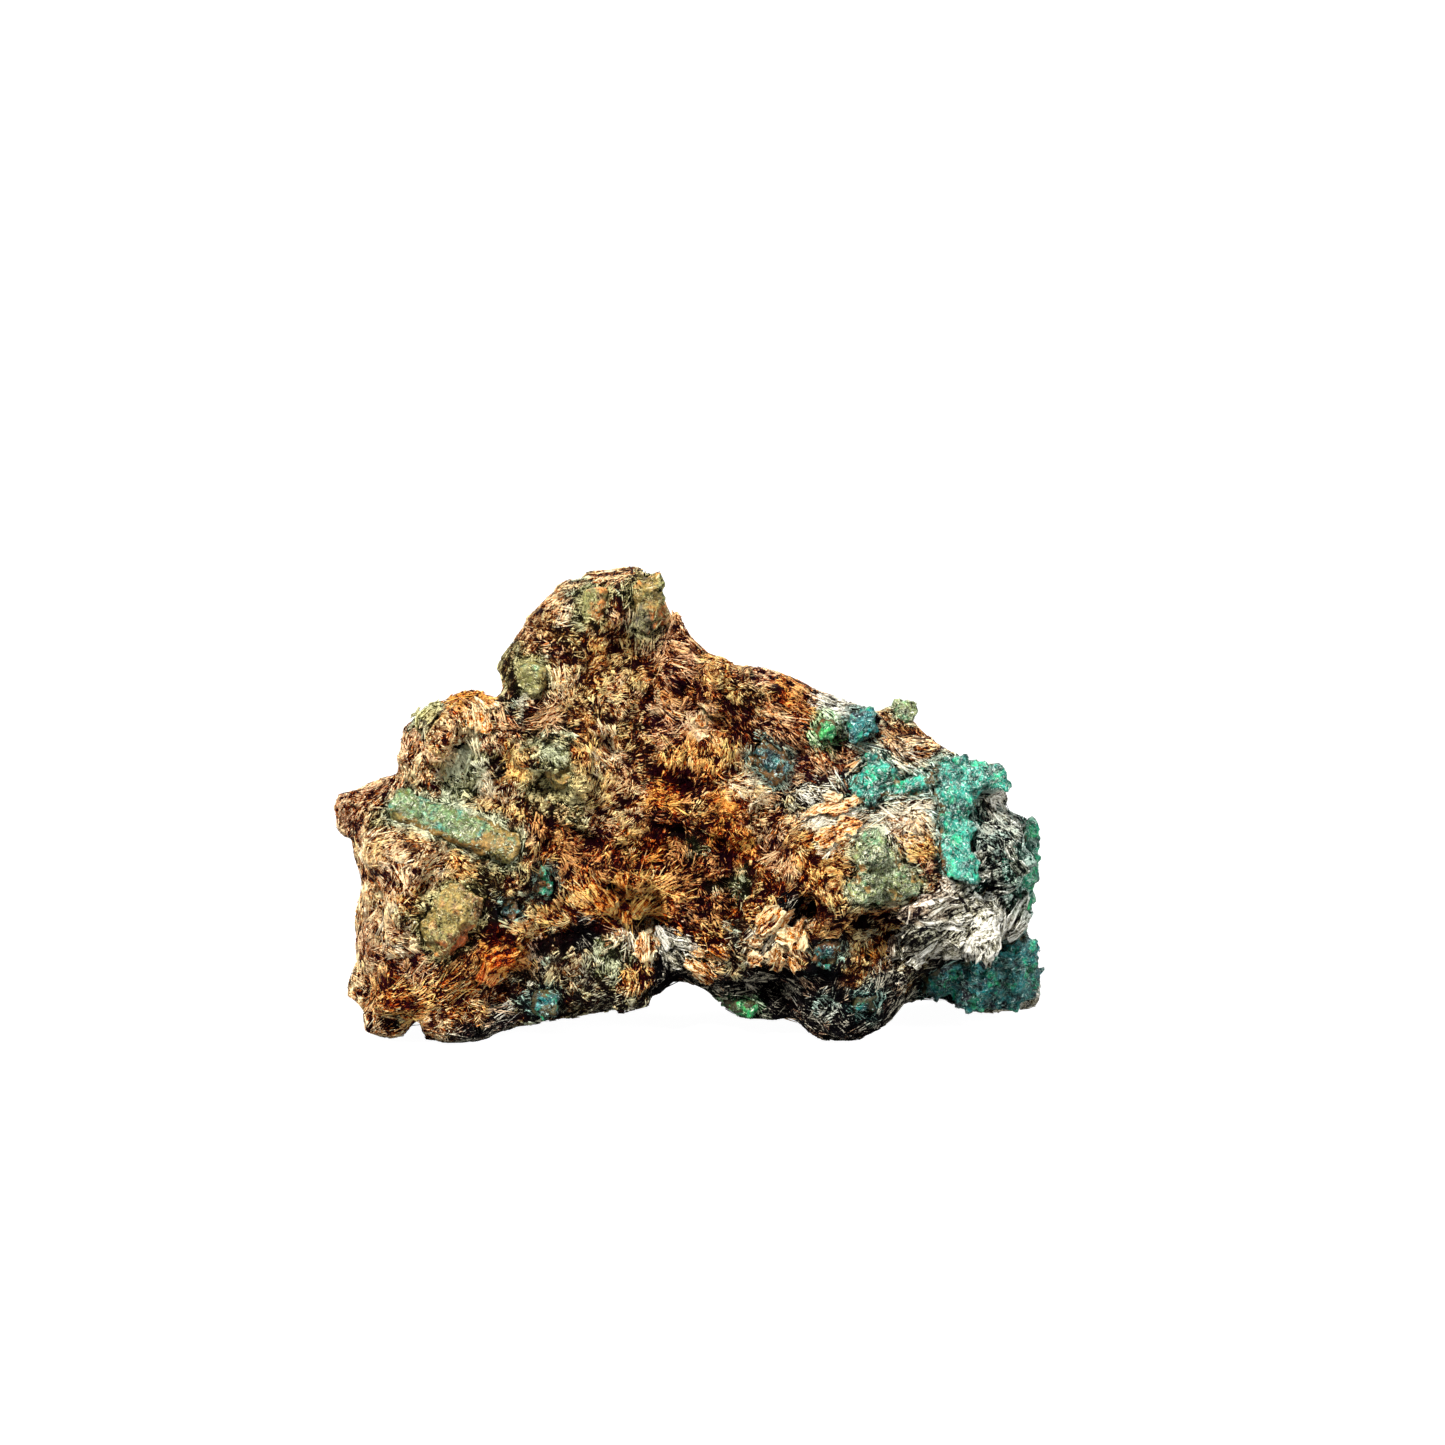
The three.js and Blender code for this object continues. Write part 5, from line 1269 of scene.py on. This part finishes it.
def strand_mesh(name, growth):
    """The strands of a growth as one piece."""
    points, faces = growth.shape
    total, corners = len(growth.tone), len(points)
    unit_long, unit_out, unit_wide = points.T
    stations = np.unique(np.round(unit_long, 3))
    station = np.searchsorted(stations, np.round(unit_long, 3))
    uneven = rng.uniform(0.6, 1.3, (total, corners))
    side = unit_wide * uneven * growth.wide[:, None]
    proud = unit_out * uneven * growth.thick[:, None]
    places = growth.spots[:, station]
    places = places + growth.broad[:, station] * side[:, :, None] + growth.out[:, station] * proud[:, :, None]
    corner_numbers = (faces[None] + (np.arange(total) * corners)[:, None, None]).reshape(-1)
    mesh = bpy.data.meshes.new(name)
    mesh.vertices.add(total * corners)
    mesh.vertices.foreach_set("co", places.reshape(-1))
    mesh.loops.add(len(corner_numbers))
    mesh.loops.foreach_set("vertex_index", corner_numbers)
    mesh.polygons.add(len(corner_numbers) // 3)
    mesh.polygons.foreach_set("loop_start", np.arange(0, len(corner_numbers), 3))
    mesh.polygons.foreach_set("loop_total", np.full(len(corner_numbers) // 3, 3))
    # a painted highlight along each strand's crest and painted shade at its foot; its far end a little
    # lighter
    edge = np.where(unit_out > 0.5, CREST_HIGHLIGHT, np.where(unit_out < -0.2, FOOT_SHADE, SIDES)) + 0.06 * unit_long
    set_values(mesh, "tone", "FLOAT", growth.tone[:, None] + edge)
    lengthwise = unit_long * growth.long[:, None] / MM * 0.3
    stripe = np.repeat(growth.stripe[:, None], corners, axis=1)
    set_values(mesh, "strand", "FLOAT_VECTOR", np.stack([lengthwise, side / MM * 5, stripe], axis=2))
    set_colours(mesh, np.repeat(growth.colours, corners, axis=0), np.repeat(growth.lustre, corners))
    mesh.update(calc_edges=True)
    piece = new_piece(name, mesh)
    mesh.materials.append(strand_paint)
    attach(piece, "root")


def grown_on_rock(shape, books, broad):
    """Strands over the rock, with painted shade in its hollows and painted light on its crests. They lap over
    the rims of the crystals.
    """
    grown = Strands(rock_ground, shape, books, broad)
    # painted shade in the hollows, painted light on the crests
    grown.tone -= painted_hollow_shade(hollowness[rock_ground.faces[grown.face][:, 0]])
    for ground, (node, _, _, _, _, lap) in zip(crystal_grounds, CRYSTALS):
        for number, end in zip(*np.nonzero(ground.by(grown.spots))):
            here = Vector(grown.spots[number, end])
            spot, facing, _, _ = ground.tree.find_nearest(here)
            depth = (spot - here).dot(facing)
            most = lap + 0.35
            if node == "long_emerald":
                # the mica laps further over its right half
                most = MOST_LAP + 4 * min(max((here.x / MM + 27) / 2.5, 0), 1)
            if depth > most * MM:
                grown.kept[number] = False
            elif depth > -SKIN_GAP:
                grown.spots[number, end] += np.array(facing) * (depth + SKIN_GAP)
    return grown.pick(grown.kept)


def grown_on_crystal(ground, grains, cover, lap):
    """Fine splinters over a crystal, none of them under the rock."""
    full = MOSSY_FULL if grains in ("mossy", "sage") else CLEAN_FULL
    books = max(3, int(CRYSTAL_BOOKS * full * ground.area.sum() / crystal_area))
    grown = Strands(ground, SPLINTER, books, SPLINTER_WIDE, CRYSTAL_GRAIN, grains, cover, min(lap, MOST_LAP))
    for number, (place, way) in enumerate(zip(grown.landed.tolist(), grown.out[:, 1].tolist())):
        if rock_ground.tree.ray_cast(place, way, UNDER_ROCK)[0] is not None:
            grown.kept[number] = False
    return grown.pick(grown.kept)


# how many books there are, and how much thicker they stand on a mossy crystal than on a clean one
BLADE_BOOKS, SPLINTER_BOOKS, CRYSTAL_BOOKS = 13200, 14500, 3000
MOSSY_FULL, CLEAN_FULL = 1.9, 0.8
CRYSTAL_GRAIN = 0.7
SKIN_GAP = 0.08 * MM
UNDER_ROCK = 1.2 * MM
MOST_TRIANGLES = 190000
strand_paint = mica_paint("mica_strands", 1.7, 0.0, 1.6, 0.35, 0.6, 0.05)
crystal_area = sum(ground.area.sum() for ground in crystal_grounds)
blades = grown_on_rock(BLADE, BLADE_BOOKS, BLADE_WIDE)
splinters = grown_on_rock(SPLINTER, SPLINTER_BOOKS, SPLINTER_WIDE)
on_crystals = [
    grown_on_crystal(ground, grains, cover, lap)
    for ground, (_, _, _, grains, cover, lap) in zip(crystal_grounds, CRYSTALS)
]
for name, growth in (("blades", blades), ("splinters", splinters.joined(on_crystals))):
    ordered = np.argsort(growth.landed[:, 0], kind="stable")
    pieces = math.ceil(len(ordered) * len(growth.shape[1]) / MOST_TRIANGLES)
    for part, some in enumerate(np.array_split(ordered, pieces)):
        strand_mesh(f"mica_{name}_{part + 1}", growth.pick(some))


# The broad plates. In places the books of mica lie face up: crumpled silvery sheets at the lower right,
# cream and gold ones over the arch, and one large amber sheet at the left. Each is one thin bent sheet.
PLATE_THICK = 0.07 * MM
# how much of a plate's colour is its own kind's, how light it is, and how much lighter its rim is, a painted
# highlight
PLATE_SHARE, PLATE_TONE, RIM_HIGHLIGHT = 0.75, 0.58, 0.25
bpy.ops.object.select_all(action="DESELECT")
bpy.ops.mesh.primitive_grid_add(x_subdivisions=6, y_subdivisions=5, size=2)
sheet = bpy.context.object
bpy.ops.object.mode_set(mode="EDIT")
bpy.ops.mesh.select_all(action="SELECT")
bpy.ops.mesh.quads_convert_to_tris()
bpy.ops.object.mode_set(mode="OBJECT")
roughen(sheet, "CLOUDS", 0.9, 0.5)
sheet_points = points_of(sheet.data)
sheet_faces = triangles_of(sheet.data)
bpy.data.objects.remove(sheet)

# where plates lie: across, up, reach, how many, how long (mm), the kind, how light
PLATE_PLACES = (
    (31.5, 14.5, 4.2, 14, 5.0, "silver", -0.06),
    (36.0, 13.6, 5.0, 16, 4.0, "silver", 0.06),
    (39.5, 15.5, 2.6, 8, 3.6, "silver", 0.05),
    (27, 12.4, 2.2, 7, 3.2, "silver", 0.0),
    (33, 17.5, 2.6, 8, 3.0, "silver", 0.0),
    (11, 13, 3.4, 18, 2.4, "cream", 0.1),
    (-5.5, 13, 2.2, 8, 3.4, "cream", 0.05),
    (-1.4, 12, 1.8, 6, 2.8, "silver", 0.05),
    (2.4, 10.6, 2, 7, 2.8, "cream", 0.0),
    (-22.8, 10.6, 0.4, 1, 5.6, "golden", -0.06),
    (-24.5, 9.4, 1.2, 3, 3.0, "rusty", 0.0),
    (-32.6, 40.6, 2.2, 6, 2.2, "mossy", 0.05),
    (18, 27.6, 3, 8, 3.0, "cream", 0.1),
    (-8, 18, 2.6, 7, 3.2, "golden", 0.0),
    (-26.4, 40.4, 1.8, 6, 2.2, "cream", 0.1),
    (2, 40.4, 1.2, 4, 2.2, "cream", 0.1),
    (37, 22, 3.5, 9, 2.2, "silver", -0.1),
)
IN_FRONT = 100


def facing_spots(across, up):
    """The spots of the rock, and their triangles, that show at those places across and up."""
    back = Vector((0, UP_SHARE, -DEPTH_SHARE))
    found = []
    for side, height in zip(across, up):
        level = (height - TABLE_DROP + (IN_FRONT - DEPTH_SHIFT) * DEPTH_SHARE) / UP_SHARE
        spot, _, face, _ = rock_ground.tree.ray_cast(Vector((side, -IN_FRONT, level)) * MM, back)
        if spot is not None:
            found.append((*spot, face))
    found = np.array(found)
    return found[:, :3], found[:, 3].astype(int)


def sheet_mesh(name, across, up, reach, count, size, kind, light):
    """Crumpled plates of one kind round one place, as one piece."""
    angle, far = rng.uniform(0, 2 * math.pi, count), reach * np.sqrt(rng.random(count))
    places, face = facing_spots(across + far * np.cos(angle), up + far * np.sin(angle))
    count, corners = len(places), len(sheet_points)
    way = rock_ground.facing[face]
    own, _ = sheaf_of(places)
    lead = square_to(places - sheaf_roots[own] + rng.normal(0, 2, (count, 3)) * MM, way)
    side = np.cross(way, lead)
    long = rng.lognormal(0, 0.25, count) * size * MM / 2
    wide = long * rng.uniform(0.45, 0.8, count)
    unit_long, unit_wide, _ = sheet_points.T
    # each sheet is ragged at its rim, bent over the rock, folded, and lifted at one side
    rim = np.maximum(np.abs(unit_long), np.abs(unit_wide)) > 0.99
    at_rim, inside = rng.uniform(-0.35, 0.12, (count, corners)), rng.uniform(-0.08, 0.08, (count, corners))
    ragged = 1 + np.where(rim, at_rim, inside)
    round_off = 1 - 0.25 * (unit_long * unit_wide) ** 2
    forward = (unit_long * round_off * ragged * long[:, None])[:, :, None] * lead[:, None]
    outward = (unit_wide * round_off * ragged * wide[:, None])[:, :, None] * side[:, None]
    flat = (places[:, None] + forward + outward).reshape(-1, 3)
    landed, landed_face = rock_ground.landing(flat)
    lengthwise, sideways = np.tile(unit_long, count), np.tile(unit_wide, count)

    def each(values):
        return np.repeat(values, corners)

    shift = each(rng.uniform(0, 99, count))
    folded = np.stack([lengthwise * 0.8 + shift, sideways * 2.6, np.zeros(count * corners)], axis=1)
    fold = np.array([noise.noise(Vector(spot)) for spot in folded])
    height = 0.6 + 0.45 * fold + each(rng.uniform(-0.05, 0.3, count))
    tilt = each(rng.normal(0, 0.3, count)) * sideways
    top = 0.35 * flat + 0.65 * landed + rock_ground.facing[landed_face] * ((height + tilt) * MM)[:, None]
    mesh = bpy.data.meshes.new(name)
    numbers = (sheet_faces[None] + (np.arange(count) * corners)[:, None, None]).reshape(-1, 3)
    mesh.from_pydata(top.tolist(), [], numbers.tolist())
    mesh.update()
    piece = new_piece(name, mesh)
    kinds = np.full(count * corners, KINDS.index(kind))
    mixes = np.eye(len(KINDS))[kinds] * PLATE_SHARE + (1 - PLATE_SHARE) * (patch_shares(landed) @ patch_mixes)
    set_colours(mesh, np.einsum("pk,ksc->psc", mixes, palettes), mixes @ lustres)
    shades = each(rng.normal(0, 0.1, count)) + 0.5 * fold
    # the plate's rim is lightened as a painted highlight
    set_values(mesh, "tone", "FLOAT", PLATE_TONE + light + shades + RIM_HIGHLIGHT * np.tile(rim, count))
    veins = np.stack([lengthwise * 0.8, sideways * 4, each(rng.uniform(0, 900, count))], axis=1)
    set_values(mesh, "strand", "FLOAT_VECTOR", veins)
    wall = piece.modifiers.new("thickness", "SOLIDIFY")
    wall.thickness = PLATE_THICK
    wall.offset = -1
    bpy.ops.object.modifier_apply(modifier=wall.name)
    mesh.materials.append(plate_paint)
    bpy.ops.object.shade_smooth()
    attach(piece, "root")


plate_paint = mica_paint("mica_plates", 1.6, 0.5, 0.8, 0.4, 0.3, 0.1)
for number, zone in enumerate(PLATE_PLACES):
    sheet_mesh(f"{zone[5]}_plates_{number + 1}", *zone)

bpy.context.view_layer.update()
